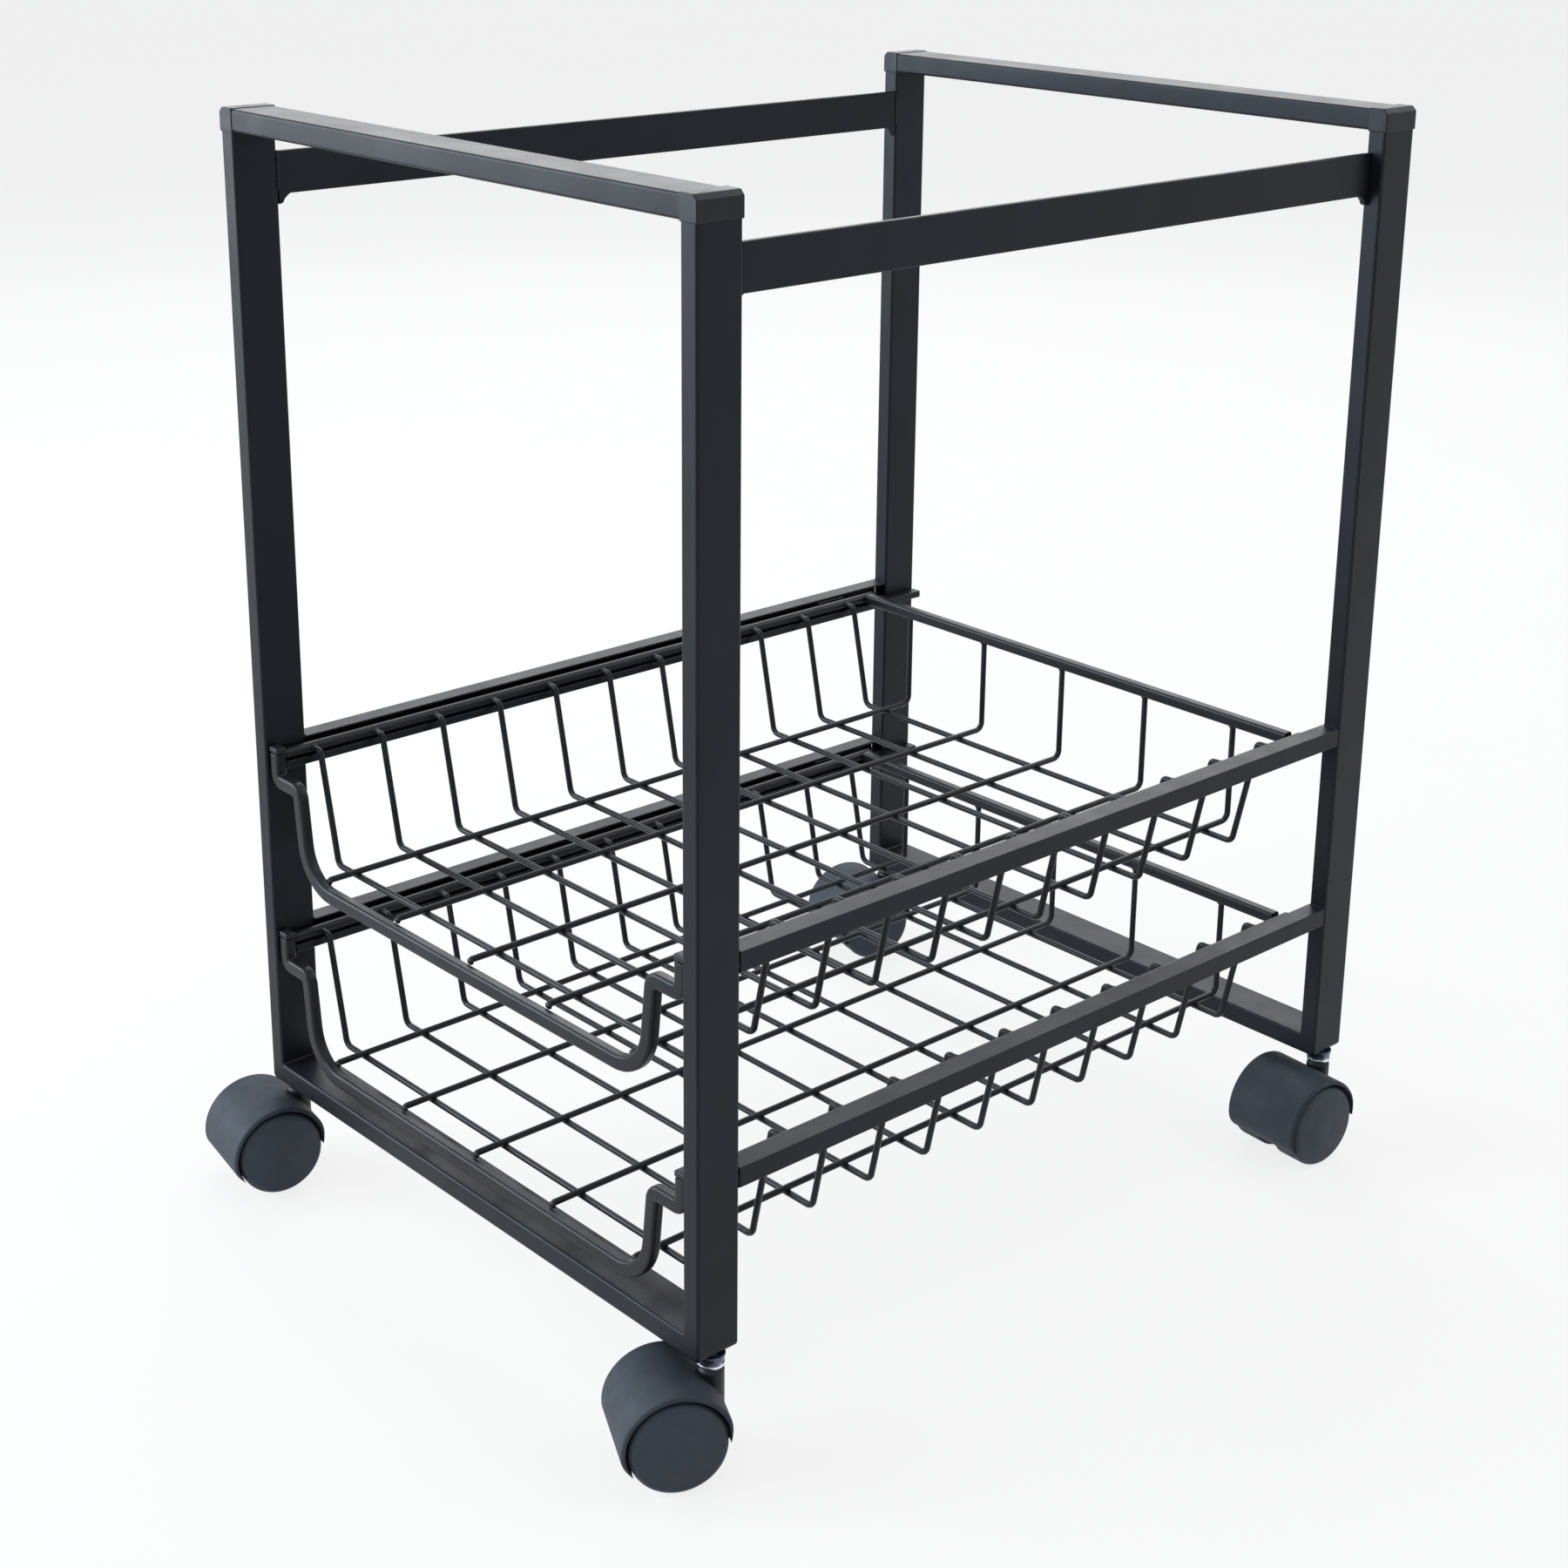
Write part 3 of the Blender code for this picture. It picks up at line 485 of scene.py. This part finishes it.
def drop_blob(shape, place, half_lengths, rings, steps):
    """A small rounded lump, such as a weld."""
    made = bmesh.ops.create_uvsphere(shape, u_segments=steps, v_segments=rings, radius=1.0)
    bmesh.ops.scale(shape, vec=half_lengths, verts=made["verts"])
    bmesh.ops.translate(shape, vec=place, verts=made["verts"])
    for vert in made["verts"]:
        for face in vert.link_faces:
            face.smooth = True


def piece(name, shape, material, body, replaces, bevel=None, weighted=True):
    """Make an object from a bmesh that rides on a body and stands for CAD nodes.

    bevel is (width, segments, least angle in degrees). weighted evens the normals out.
    """
    bmesh.ops.recalc_face_normals(shape, faces=shape.faces)
    mesh = bpy.data.meshes.new(name)
    shape.to_mesh(mesh)
    shape.free()
    made = bpy.data.objects.new(name, mesh)
    bpy.context.scene.collection.objects.link(made)
    mesh.materials.append(material)
    if bevel:
        step = made.modifiers.new("round", "BEVEL")
        step.width, step.segments = bevel[:2]
        step.limit_method = "ANGLE"
        step.angle_limit = radians(bevel[2])
        for polygon in mesh.polygons:
            polygon.use_smooth = True
    if weighted:
        step = made.modifiers.new("even", "WEIGHTED_NORMAL")
        step.keep_sharp = True
        step.weight = 80
    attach(made, body)
    if replaces:
        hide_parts(*replaces)


# Frame

def end_frame(end):
    """One end's legs and bottom rail, one bent and welded flat tube."""
    left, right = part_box(f"leg_{end}_left"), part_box(f"leg_{end}_right")
    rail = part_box(f"bottom_rail_{end}")
    x0, x1 = left[0].x, right[1].x
    inner0, inner1 = left[1].x, right[0].x
    foot, shelf, top = left[0].z, rail[1].z, left[1].z + CAP_REACH
    quarter = [radians(9 * k) for k in range(11)]
    bend = FOOT_CORNER
    outline = [(x0, top)]
    outline += [(x0 + bend * (1 - cos(a)), foot + bend * (1 - sin(a))) for a in quarter]
    outline += [(x1 - bend * (1 - sin(a)), foot + bend * (1 - cos(a))) for a in quarter]
    quarter = (0, pi / 4, pi / 2)
    bend = TUBE_INSIDE_CORNER
    outline += [(x1, top), (inner1, top)]
    outline += [(inner1 - bend * (1 - cos(a)), shelf + bend * (1 - sin(a))) for a in quarter]
    outline += [(inner0 + bend * (1 - sin(a)), shelf + bend * (1 - cos(a))) for a in quarter]
    outline += [(inner0, top)]
    shape = bmesh.new()
    outline_solid(shape, outline, "XZ", left[0].y, left[1].y)
    replaced = (f"leg_{end}_left", f"leg_{end}_right", f"bottom_rail_{end}")
    piece(f"end_frame_{end}", shape, FRAME_PAINT, "frame", replaced, TUBE_BEVEL)


def box_piece(name, node, material, edge, reach=0.0):
    """A rounded bar in the place of a CAD node's box. reach makes it longer at both ends."""
    low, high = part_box(node)
    size = high - low
    axis = max(range(3), key=lambda k: size[k])
    start = (low + high) / 2
    stop = start.copy()
    start[axis], stop[axis] = low[axis] - reach, high[axis] + reach
    side = Vector((0, 0, 1))
    across = side.cross((stop - start).normalized())
    section = flat_section(abs(across.dot(size)), size.z, edge)
    shape = bmesh.new()
    sweep(shape, [start, stop], section, side, min(edge, BAR_END_EDGE))
    piece(name, shape, material, NODES[node]["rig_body"], (node,))


def inner_and_outer(node, side):
    """The X places of a node's faces towards the cart's middle and away from it."""
    low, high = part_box(node)
    return (low.x, high.x) if SIDES[side] > 0 else (high.x, low.x)


def corner_cap(end, side):
    """Moulded corner, nearly flush with the tubes, with a wide chamfer on its outer top edge."""
    outward = SIDES[side]
    node = f"corner_cap_{end}_{side}"
    leg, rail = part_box(f"leg_{end}_{side}"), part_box(f"top_rail_{end}")
    outer = inner_and_outer(f"leg_{end}_{side}", side)[1] + outward * CAP_PROUD
    inner = rail[1].x if outward > 0 else rail[0].x
    bottom, top = leg[1].z, rail[1].z + CAP_PROUD
    outline = [(inner, bottom), (outer, bottom), (outer, top - CAP_CHAMFER),
               (outer - outward * CAP_CHAMFER, top), (inner, top)]
    shape = bmesh.new()
    outline_solid(shape, outline, "XZ", leg[0].y - CAP_PROUD, leg[1].y + CAP_PROUD)
    piece(f"{node}_moulding", shape, CAP_PLASTIC, "frame", (node,), CAP_BEVEL)


def hanging_rail(side):
    """Flat bar on edge, with rolled edges and its small corners under each end."""
    node = f"hanging_rail_{side}"
    low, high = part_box(node)
    (start_y, start_z), (grow_y, grow_z) = GUSSET_START, GUSSET_GROWTH
    curve = [(start_y, start_z)]
    curve += [(start_y + grow_y * s, start_z + grow_z * s ** 0.6) for s in (0.25, 0.5, 0.75, 1)]
    outline = [(low.y, high.z), (low.y, low.z)]
    outline += [(low.y + GUSSET * y, low.z + GUSSET * z) for y, z in curve]
    outline += [(low.y + high.y - y, z) for y, z in reversed(outline)]
    shape = bmesh.new()
    outline_solid(shape, outline, "YZ", low.x, high.x)
    piece(f"{node}_bar", shape, FRAME_PAINT, "frame", (node,), FLAT_BAR_BEVEL)


def slide_rail(level, side):
    """Channel between the legs, with a lip above and below its slot."""
    node = f"slide_rail_{level}_{side}"
    low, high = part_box(node)
    inner, outer = inner_and_outer(node, side)
    back = outer - SIDES[side] * CHANNEL_WALL
    profile = [(inner, low.z), (outer, low.z), (outer, high.z), (inner, high.z),
               (inner, high.z - CHANNEL_WALL), (back, high.z - CHANNEL_WALL),
               (back, low.z + CHANNEL_WALL), (inner, low.z + CHANNEL_WALL)]
    shape = bmesh.new()
    outline_solid(shape, profile, "XZ", low.y, high.y)
    piece(f"{node}_channel", shape, FRAME_PAINT, "frame", (node,), CHANNEL_BEVEL)


def frame_welds():
    """Weld beads where rails meet legs, a row of small ripples on each seam."""
    shape = bmesh.new()
    for end in ENDS:
        for side, out in SIDES.items():
            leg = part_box(f"leg_{end}_{side}")
            inner = inner_and_outer(f"leg_{end}_{side}", side)[0]
            face = leg[0].y if end == "back" else leg[1].y
            for level in LEVELS:
                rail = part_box(f"slide_rail_{level}_{side}")
                for height, sign in ((rail[1].z, 1), (rail[0].z, -1)):
                    for k in range(SEAM_RIPPLES):
                        x = inner + out * (SEAM_FIRST + SEAM_PITCH * k)
                        drop_blob(shape, (x, face, height - sign * SEAM_SINK), SEAM_RIPPLE, 5, 8)
            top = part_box(f"hanging_rail_{side}")[1].z
            x = inner_and_outer(f"hanging_rail_{side}", side)[0]
            for k in range(FLAT_BAR_RIPPLES):
                z = top - FLAT_BAR_FIRST - FLAT_BAR_PITCH * k
                drop_blob(shape, (x, face, z), FLAT_BAR_RIPPLE, 5, 8)
    piece("frame_weld_beads", shape, WELD_PAINT, "frame", (), weighted=False)


def make_frame():
    for end in ENDS:
        end_frame(end)
        rail = f"top_rail_{end}"
        box_piece(f"{rail}_tube", rail, FRAME_PAINT, TUBE_EDGE, CAP_REACH)
        for side in SIDES:
            corner_cap(end, side)
    for side in SIDES:
        hanging_rail(side)
        for level in LEVELS:
            slide_rail(level, side)
            runner = f"runner_{level}_{side}"
            box_piece(f"{runner}_strip", runner, FRAME_PAINT, RUNNER_EDGE)
    frame_welds()


# Baskets

def front_bar(level):
    """Bent bar: low run, two arms, ends stepped out and turned up into plastic caps."""
    node = f"basket_{level}_front_bar"
    body = f"{level}_basket"
    low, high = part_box(node)
    y = (low.y + high.y) / 2
    end_x = (high.x - low.x) / 2 - BAR_HEIGHT / 2
    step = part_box(f"slide_rail_{level}_left")[1].z - BAR_STEP_DROP
    arm = end_x - BAR_STEP_LENGTH
    run = low.z + BAR_HEIGHT / 2
    half = [(end_x, high.z), (end_x, step), (arm, step), (arm - BAR_ARM_LEAN, run)]
    corners = [Vector((CART.x + a, y, b)) for a, b in half]
    corners += [Vector((CART.x - a, y, b)) for a, b in reversed(half)]
    bends = (BAR_TOP_BEND, BAR_TOP_BEND, BAR_LOW_BEND)
    route = rounded_route(corners, bends + bends[::-1], 12)
    section = flat_section(BAR_HEIGHT, BAR_DEPTH, BAR_EDGE)
    shape = bmesh.new()
    sweep(shape, route, section, (0, 1, 0), BENT_BAR_END_EDGE)
    piece(f"{node}_bent", shape, WIRE_COAT, body, (node,))
    for side in SIDES:
        end_plug(f"basket_{level}_end_plug_{side}", high.z, body)


def end_plug(node, bar_top, body):
    """Plastic cap on an upturned end of a front bar."""
    low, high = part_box(node)
    tall = high.z - bar_top - FIT_GAP
    shape = bmesh.new()
    bmesh.ops.create_cube(shape, size=1.0)
    bmesh.ops.scale(shape, vec=(high.x - low.x, high.y - low.y, tall), verts=shape.verts)
    place = ((low.x + high.x) / 2, (low.y + high.y) / 2, high.z - tall / 2)
    bmesh.ops.translate(shape, vec=place, verts=shape.verts)
    piece(f"{node}_cap", shape, CAP_PLASTIC, body, (node,), PLUG_BEVEL)


def side_rod(level, side):
    """Round rod along a basket's side, with rounded ends."""
    node = f"basket_{level}_rod_{side}"
    low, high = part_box(node)
    centre = (low + high) / 2
    route = [Vector((centre.x, y, centre.z)) for y in (low.y, high.y)]
    section = round_section((high.x - low.x) / 2, 24)
    shape = bmesh.new()
    sweep(shape, route, section, (0, 0, 1), ROD_END_EDGE)
    piece(f"{node}_round", shape, WIRE_COAT, f"{level}_basket", (node,))


def wire_grid(level):
    """Cross wires bent to a tray, with long wires welded on them, turned up at the back."""
    node = f"basket_{level}_wire_grid"
    low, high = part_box(node)
    rod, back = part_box(f"basket_{level}_rod_left"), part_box(f"basket_{level}_back_bar")
    rods = (rod[0].z + rod[1].z) / 2
    back_y = (back[0].y + back[1].y) / 2
    bar_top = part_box(f"basket_{level}_front_bar")[0].z + BAR_HEIGHT
    long_z = bar_top + FIT_GAP + WIRE_RADIUS
    cross_z = long_z - 2 * WIRE_RADIUS + WIRE_SINK
    first, last = low.y + FIRST_WIRE_INSET, back_y - LAST_WIRE_INSET
    start = (high.x - low.x) / 2
    shoulder = start - WIRE_SHOULDER
    outer = shoulder - WIRE_LEAN - LONG_WIRE_INSET
    half = [(start + FIT_GAP, rods), (shoulder, rods), (shoulder - WIRE_LEAN, cross_z)]
    tray = half + [(-a, b) for a, b in reversed(half)]
    tray_bends = (WIRE_TOP_BEND, WIRE_BEND, WIRE_BEND, WIRE_TOP_BEND)
    long_places = [CART.x - outer + 2 * outer * k / (LONG_WIRES - 1) for k in range(LONG_WIRES)]
    shape, welds = bmesh.new(), bmesh.new()
    section = round_section(WIRE_RADIUS, 12)
    for index in range(CROSS_WIRES):
        y = first + (last - first) * index / (CROSS_WIRES - 1)
        corners = [Vector((CART.x + a, y, b)) for a, b in tray]
        route = rounded_route(corners, tray_bends, 7)
        sweep(shape, route, section, (0, 1, 0), CROSS_WIRE_END_EDGE, 2)
        for out in (-1, 1):
            drop_blob(welds, (CART.x + out * start, y, rods), ROD_WELD, 6, 10)
        for x in long_places:
            drop_blob(welds, (x, y, (cross_z + long_z) / 2), CROSSING_WELD, 5, 10)
    for x in long_places:
        corners = [(low.y, long_z), (back_y, long_z), (back_y, back[0].z + WELD_OVERLAP)]
        route = rounded_route([Vector((x, y, z)) for y, z in corners], (WIRE_BEND,), 8)
        sweep(shape, route, section, (1, 0, 0), LONG_WIRE_END_EDGE, 2)
        drop_blob(welds, (x, back_y, back[0].z - WELD_OVERLAP), BACK_WELD, 6, 10)
        front_weld = (x, low.y - WELD_OVERLAP, long_z - FRONT_WELD_DROP)
        drop_blob(welds, front_weld, FRONT_WELD, 6, 10)
    body = f"{level}_basket"
    piece(f"{node}_wires", shape, WIRE_COAT, body, (node,), weighted=False)
    piece(f"{node}_welds", welds, WIRE_COAT, body, (), weighted=False)


def glide(level, side):
    """Moulded glide with a relief slot along its outer face."""
    node = f"basket_{level}_glide_{side}"
    low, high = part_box(node)
    inner, outer = inner_and_outer(node, side)
    deep = outer - SIDES[side] * GLIDE_SLOT_DEEP
    mid = (low.z + high.z) / 2
    slot_low, slot_high = mid - GLIDE_SLOT_HALF, mid + GLIDE_SLOT_HALF
    profile = [(inner, low.z), (outer, low.z), (outer, slot_low), (deep, slot_low),
               (deep, slot_high), (outer, slot_high), (outer, high.z), (inner, high.z)]
    shape = bmesh.new()
    outline_solid(shape, profile, "XZ", low.y, high.y)
    body = f"{level}_basket"
    piece(f"{node}_block", shape, GLIDE_PLASTIC, body, (node,), GLIDE_BEVEL)


def make_basket(level):
    front_bar(level)
    wire_grid(level)
    bar = f"basket_{level}_back_bar"
    box_piece(f"{bar}_round", bar, WIRE_COAT, BACK_BAR_EDGE)
    for side in SIDES:
        side_rod(level, side)
        glide(level, side)


# Casters

def caster_matrix(corner):
    """Place and turn of a caster: X along its axle, -Y towards its trailing side."""
    swivel = JOINTS[f"caster_{corner}_swivel"]["pos_m"]
    axle = JOINTS[f"caster_{corner}_outer_wheel_spin"]["axis"]
    along = Vector(axle).normalized()
    back = Vector((-along.y, along.x, 0))
    turn = Matrix((along, back, Vector((0, 0, 1)))).transposed().to_4x4()
    return Matrix.Translation((swivel[0], swivel[1], 0)) @ turn


def hood_section():
    """Section of the hood's shell, as (across, radius) points, with a groove inside each rim."""
    section = []
    for turn, side in enumerate((1, -1)):
        for k in range(6):
            angle = pi / 2 * (turn + k / 5)
            section.append((side * (HOOD_HALF - HOOD_EDGE) + HOOD_EDGE * cos(angle),
                            HOOD_RADIUS - HOOD_EDGE + HOOD_EDGE * sin(angle)))
    section = [(x, r - HOOD_CROWN * (x / HOOD_HALF) ** 2) for x, r in section]
    deep = HOOD_HALF - HOOD_GROOVE_DEEP
    inside = [(HOOD_HALF, HOOD_GROOVE + HOOD_RIM_CHAMFER),
              (HOOD_HALF - HOOD_RIM_CHAMFER, HOOD_GROOVE), (deep, HOOD_GROOVE), (deep, HOOD_INNER)]
    return section + [(-x, r) for x, r in inside] + inside[::-1]


def hood_shell(node, body, place):
    """Arched shell over both wheels, thinner towards its two ends."""
    steps = 72
    section = hood_section()
    rings = []
    for index in range(steps + 1):
        angle = HOOD_BACK_ANGLE * index / steps
        near_end = min(1.0, angle / HOOD_LEAD_TAPER, (HOOD_BACK_ANGLE - angle) / HOOD_TRAIL_TAPER)
        share = HOOD_END_SHARE + (1 - HOOD_END_SHARE) * sin(near_end * pi / 2)
        points = [(x, HOOD_INNER + (r - HOOD_INNER) * share) for x, r in section]
        rings.append([Vector((x, r * cos(angle) - TRAIL, r * sin(angle) + WHEEL_RADIUS))
                      for x, r in points])
    shape = bmesh.new()
    join_rings(shape, [[shape.verts.new(place @ point) for point in ring] for ring in rings])
    piece(f"{node}_shell", shape, HOOD_PLASTIC, body, (node,))


def hood(corner, place):
    """Hood: its shell, its middle wall and its round neck."""
    node = f"caster_{corner}_hood"
    body = f"caster_{corner}"
    hood_shell(node, body, place)

    reach = HOOD_INNER + WEB_OVERLAP
    angles = [HOOD_BACK_ANGLE * k / 40 for k in range(41)]
    outline = [(reach * cos(a) - TRAIL, reach * sin(a) + WHEEL_RADIUS) for a in angles]
    web = bmesh.new()
    outline_solid(web, outline, "YZ", -WEB_HALF, WEB_HALF)
    bmesh.ops.transform(web, matrix=place, verts=web.verts)
    piece(f"{node}_web", web, HOOD_PLASTIC, body, (), WEB_BEVEL)

    side = [(NECK_RADIUS, height) for height in NECK_SIDE_HEIGHTS]
    neck = bmesh.new()
    revolve(neck, [(0.0, WHEEL_RADIUS)] + side + NECK_RIM, 48, place)
    piece(f"{node}_neck", neck, NECK_PLASTIC, body, ())


def wheel(corner, hand_name, hand, place):
    """One wheel: domed outer disc with a rounded rim, and a tread band."""
    node = f"caster_{corner}_wheel_{hand_name}"
    body = f"caster_{corner}_{hand_name}_wheel"
    turn = (place @ Matrix.Translation((hand * WHEEL_INNER, -TRAIL, WHEEL_RADIUS))
            @ Matrix.Rotation(hand * pi / 2, 4, "Y"))
    width = WHEEL_OUTER - WHEEL_INNER
    shoulder = width - WHEEL_CROWN - WHEEL_EDGE
    seam = shoulder - WHEEL_SEAM_DROP
    flat = WHEEL_RADIUS - WHEEL_EDGE
    face = [(flat * s, width - WHEEL_CROWN * s ** 2) for s in (0.0, 0.2, 0.4, 0.6, 0.8, 0.92)]
    quarter = [radians(15 * k) for k in range(7)]
    rim = [(WHEEL_RADIUS - WHEEL_EDGE * (1 - sin(a)), shoulder + WHEEL_EDGE * cos(a))
           for a in quarter]
    disc = bmesh.new()
    revolve(disc, face + rim + [(WHEEL_RADIUS, seam)], 96, turn)
    piece(f"{node}_disc", disc, WHEEL_PLASTIC, body, (node,), weighted=False)

    profile = [(WHEEL_RADIUS, seam), (WHEEL_RADIUS - WHEEL_SEAM_GROOVE, seam - WHEEL_SEAM_GROOVE),
               (WHEEL_RADIUS - WHEEL_SEAM_STEP, seam - 2 * WHEEL_SEAM_GROOVE)]
    profile += [(WHEEL_RADIUS, seam * s) for s in (0.8, 0.6, 0.4, 0.2)]
    tread = bmesh.new()
    revolve(tread, profile + WHEEL_BACK, 96, turn)
    piece(f"{node}_tread", tread, TREAD_PLASTIC, body, (), weighted=False)


def axle(corner, place):
    """Steel pin with its two chamfered ends in the wheels."""
    node = f"caster_{corner}_axle"
    turn = (place @ Matrix.Translation((0, -TRAIL, WHEEL_RADIUS))
            @ Matrix.Rotation(pi / 2, 4, "Y"))
    half = [(0.0, AXLE_HALF), (AXLE_RADIUS - AXLE_BEVEL, AXLE_HALF),
            (AXLE_RADIUS, AXLE_HALF - AXLE_BEVEL)]
    shape = bmesh.new()
    revolve(shape, half + [(AXLE_RADIUS, 0.0)] + [(r, -x) for r, x in reversed(half)], 32, turn)
    body = f"caster_{corner}"
    piece(f"{node}_pin", shape, STEM_METAL, body, (node,), weighted=False)


def stem(corner, place):
    """Plated stem with a bright ring over the neck, and a dark cone between the ring and the leg,
    whose plate colour is painted shade under the leg with a painted bluish reflection.
    """
    node = f"caster_{corner}_stem"
    low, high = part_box(node)
    upright = Matrix.Translation((place.translation.x, place.translation.y, 0))
    profile = [
        (0.0, high.z), (STEM_RADIUS - STEM_BEVEL, high.z), (STEM_RADIUS, high.z - STEM_BEVEL),
        (STEM_RADIUS, FLANGE_TOP), (FLANGE_RADIUS - FLANGE_LIP, FLANGE_TOP),
        (FLANGE_RADIUS, FLANGE_TOP - FLANGE_LIP), (FLANGE_RADIUS, FLANGE_LOW + FLANGE_LIP),
        (FLANGE_RADIUS - FLANGE_LIP, FLANGE_LOW), (STEM_RADIUS, FLANGE_LOW),
        (STEM_RADIUS, low.z + STEM_BEVEL), (STEM_RADIUS - STEM_BEVEL, low.z), (0.0, low.z),
    ]
    shape = bmesh.new()
    revolve(shape, profile, 48, upright)
    piece(f"{node}_turned", shape, STEM_METAL, "frame", (node,))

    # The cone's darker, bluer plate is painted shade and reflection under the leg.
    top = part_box(f"leg_{corner}")[0].z - FIT_GAP
    profile = [(STEM_RADIUS, top), (CONE_TOP_RADIUS - FLANGE_LIP, top),
               (CONE_TOP_RADIUS, top - FLANGE_LIP), (CONE_LOW_RADIUS, FLANGE_TOP),
               (STEM_RADIUS, FLANGE_TOP), (STEM_RADIUS, top)]
    cone = bmesh.new()
    revolve(cone, profile, 48, upright)
    piece(f"{node}_cone", cone, CONE_METAL_PAINTED_SHADE, "frame", ())


def make_casters():
    for end in ENDS:
        for side in SIDES:
            corner = f"{end}_{side}"
            place = caster_matrix(corner)
            hood(corner, place)
            axle(corner, place)
            stem(corner, place)
            wheel(corner, "outer", 1, place)
            wheel(corner, "inner", -1, place)


# Stage, lamps and camera

FLOOR_SIZE = 30.0
FLOOR_WHITE = 0.80
WORLD_LEVEL = 0.36
WORLD_COLOUR = (0.93, 0.96, 1.0, 1)
LAMP_AIM = Vector((0, 0, 0.27))

# Camera angles are in degrees and its place is measured from the middle of the cart's floor
PHOTO_PIXELS = 1800
LENS_PIXELS = 2972.28
SENSOR_WIDTH = 36.0
CAMERA_SHIFT = -0.12
CAMERA_AZIMUTH = 47.95
CAMERA_ELEVATION = 17.43
CAMERA_ROLL = 0.55
CAMERA_PLACE = Vector((0.86153, -0.80144, 0.66574))


def towards(azimuth, elevation):
    """Direction away from the cart for two angles in degrees, with azimuth 0 at its front."""
    a, e = radians(azimuth), radians(elevation)
    return Vector((sin(a) * cos(e), -cos(a) * cos(e), sin(e)))


def white_when_looked_at(tree, output, plain, share):
    """Mix white light into a surface for rays that look at it, direct, mirrored or refracted."""
    path = tree.nodes.new("ShaderNodeLightPath")
    looked = path.outputs["Is Camera Ray"]
    for kind in ("Is Glossy Ray", "Is Transmission Ray"):
        either = tree.nodes.new("ShaderNodeMath")
        either.operation = "MAXIMUM"
        tree.links.new(looked, either.inputs[0])
        tree.links.new(path.outputs[kind], either.inputs[1])
        looked = either.outputs[0]
    part = tree.nodes.new("ShaderNodeMath")
    part.operation = "MULTIPLY"
    part.inputs[1].default_value = share
    tree.links.new(looked, part.inputs[0])
    shader = "ShaderNodeBackground" if output == "World Output" else "ShaderNodeEmission"
    white = tree.nodes.new(shader)
    white.inputs["Color"].default_value = (1, 1, 1, 1)
    white.inputs["Strength"].default_value = 1.0
    mix = tree.nodes.new("ShaderNodeMixShader")
    tree.links.new(part.outputs[0], mix.inputs[0])
    tree.links.new(plain, mix.inputs[1])
    tree.links.new(white.outputs[0], mix.inputs[2])
    tree.links.new(mix.outputs[0], tree.nodes[output].inputs["Surface"])


def make_stage():
    """Pale floor, and a white surround for what looks past the cart."""
    shape = bmesh.new()
    bmesh.ops.create_grid(shape, x_segments=8, y_segments=8, size=FLOOR_SIZE)
    mesh = bpy.data.meshes.new("floor")
    shape.to_mesh(mesh)
    shape.free()
    floor = bpy.data.objects.new("floor", mesh)
    bpy.context.scene.collection.objects.link(floor)
    g = Graph("floor_surface")
    g.feed("Base Color", g.ramp(g.noise(3, 3), (0.79, 0.79, 0.79), (0.82, 0.82, 0.82)))
    g.value("Roughness", 0.75)
    g.value("Specular IOR Level", 0.2)
    white_when_looked_at(g.tree, "Material Output", g.shader.outputs[0], FLOOR_WHITE)
    mesh.materials.append(g.material)

    world = bpy.data.worlds.new("studio")
    bpy.context.scene.world = world
    world.use_nodes = True
    back = world.node_tree.nodes["Background"]
    back.inputs["Color"].default_value = WORLD_COLOUR
    back.inputs["Strength"].default_value = WORLD_LEVEL
    white_when_looked_at(world.node_tree, "World Output", back.outputs[0], 1.0)


def area_light(name, azimuth, elevation, distance, size, power, colour=(1, 1, 1)):
    """A soft lamp that looks at the cart."""
    data = bpy.data.lights.new(name, "AREA")
    data.shape = "RECTANGLE"
    data.size, data.size_y = size
    data.energy = power
    data.color = colour
    lamp = bpy.data.objects.new(name, data)
    bpy.context.scene.collection.objects.link(lamp)
    back = towards(azimuth, elevation)
    lamp.location = LAMP_AIM + back * distance
    lamp.rotation_mode = "QUATERNION"
    lamp.rotation_quaternion = (-back).to_track_quat("-Z", "Y")


def make_lights():
    area_light("key_left", -40, 17, 2.2, (1.9, 1.5), 62, (0.90, 0.96, 1.0))
    area_light("top_soft", 20, 82, 2.2, (2.4, 2.4), 9)
    area_light("back_left", -132, 34, 2.6, (2.0, 1.4), 27)
    area_light("back_right", 150, 40, 2.6, (1.6, 1.2), 14)


def make_camera():
    """Camera at the photo's angle."""
    data = bpy.data.cameras.new("photo_view")
    data.sensor_fit = "HORIZONTAL"
    data.sensor_width = SENSOR_WIDTH
    data.lens = SENSOR_WIDTH * LENS_PIXELS / PHOTO_PIXELS
    data.shift_y = CAMERA_SHIFT
    camera = bpy.data.objects.new("photo_view", data)
    bpy.context.scene.collection.objects.link(camera)
    a, r = radians(CAMERA_AZIMUTH), radians(CAMERA_ROLL)
    back = towards(CAMERA_AZIMUTH, CAMERA_ELEVATION)
    right = Vector((cos(a), sin(a), 0))
    up = back.cross(right)
    right, up = cos(r) * right + sin(r) * up, cos(r) * up - sin(r) * right
    turn = Matrix((right, up, back)).transposed().to_4x4()
    camera.matrix_world = Matrix.Translation(CART + CAMERA_PLACE) @ turn
    bpy.context.scene.camera = camera


make_frame()
for level in LEVELS:
    make_basket(level)
make_casters()
make_stage()
make_lights()
make_camera()
bpy.context.scene.view_settings.view_transform = "Standard"
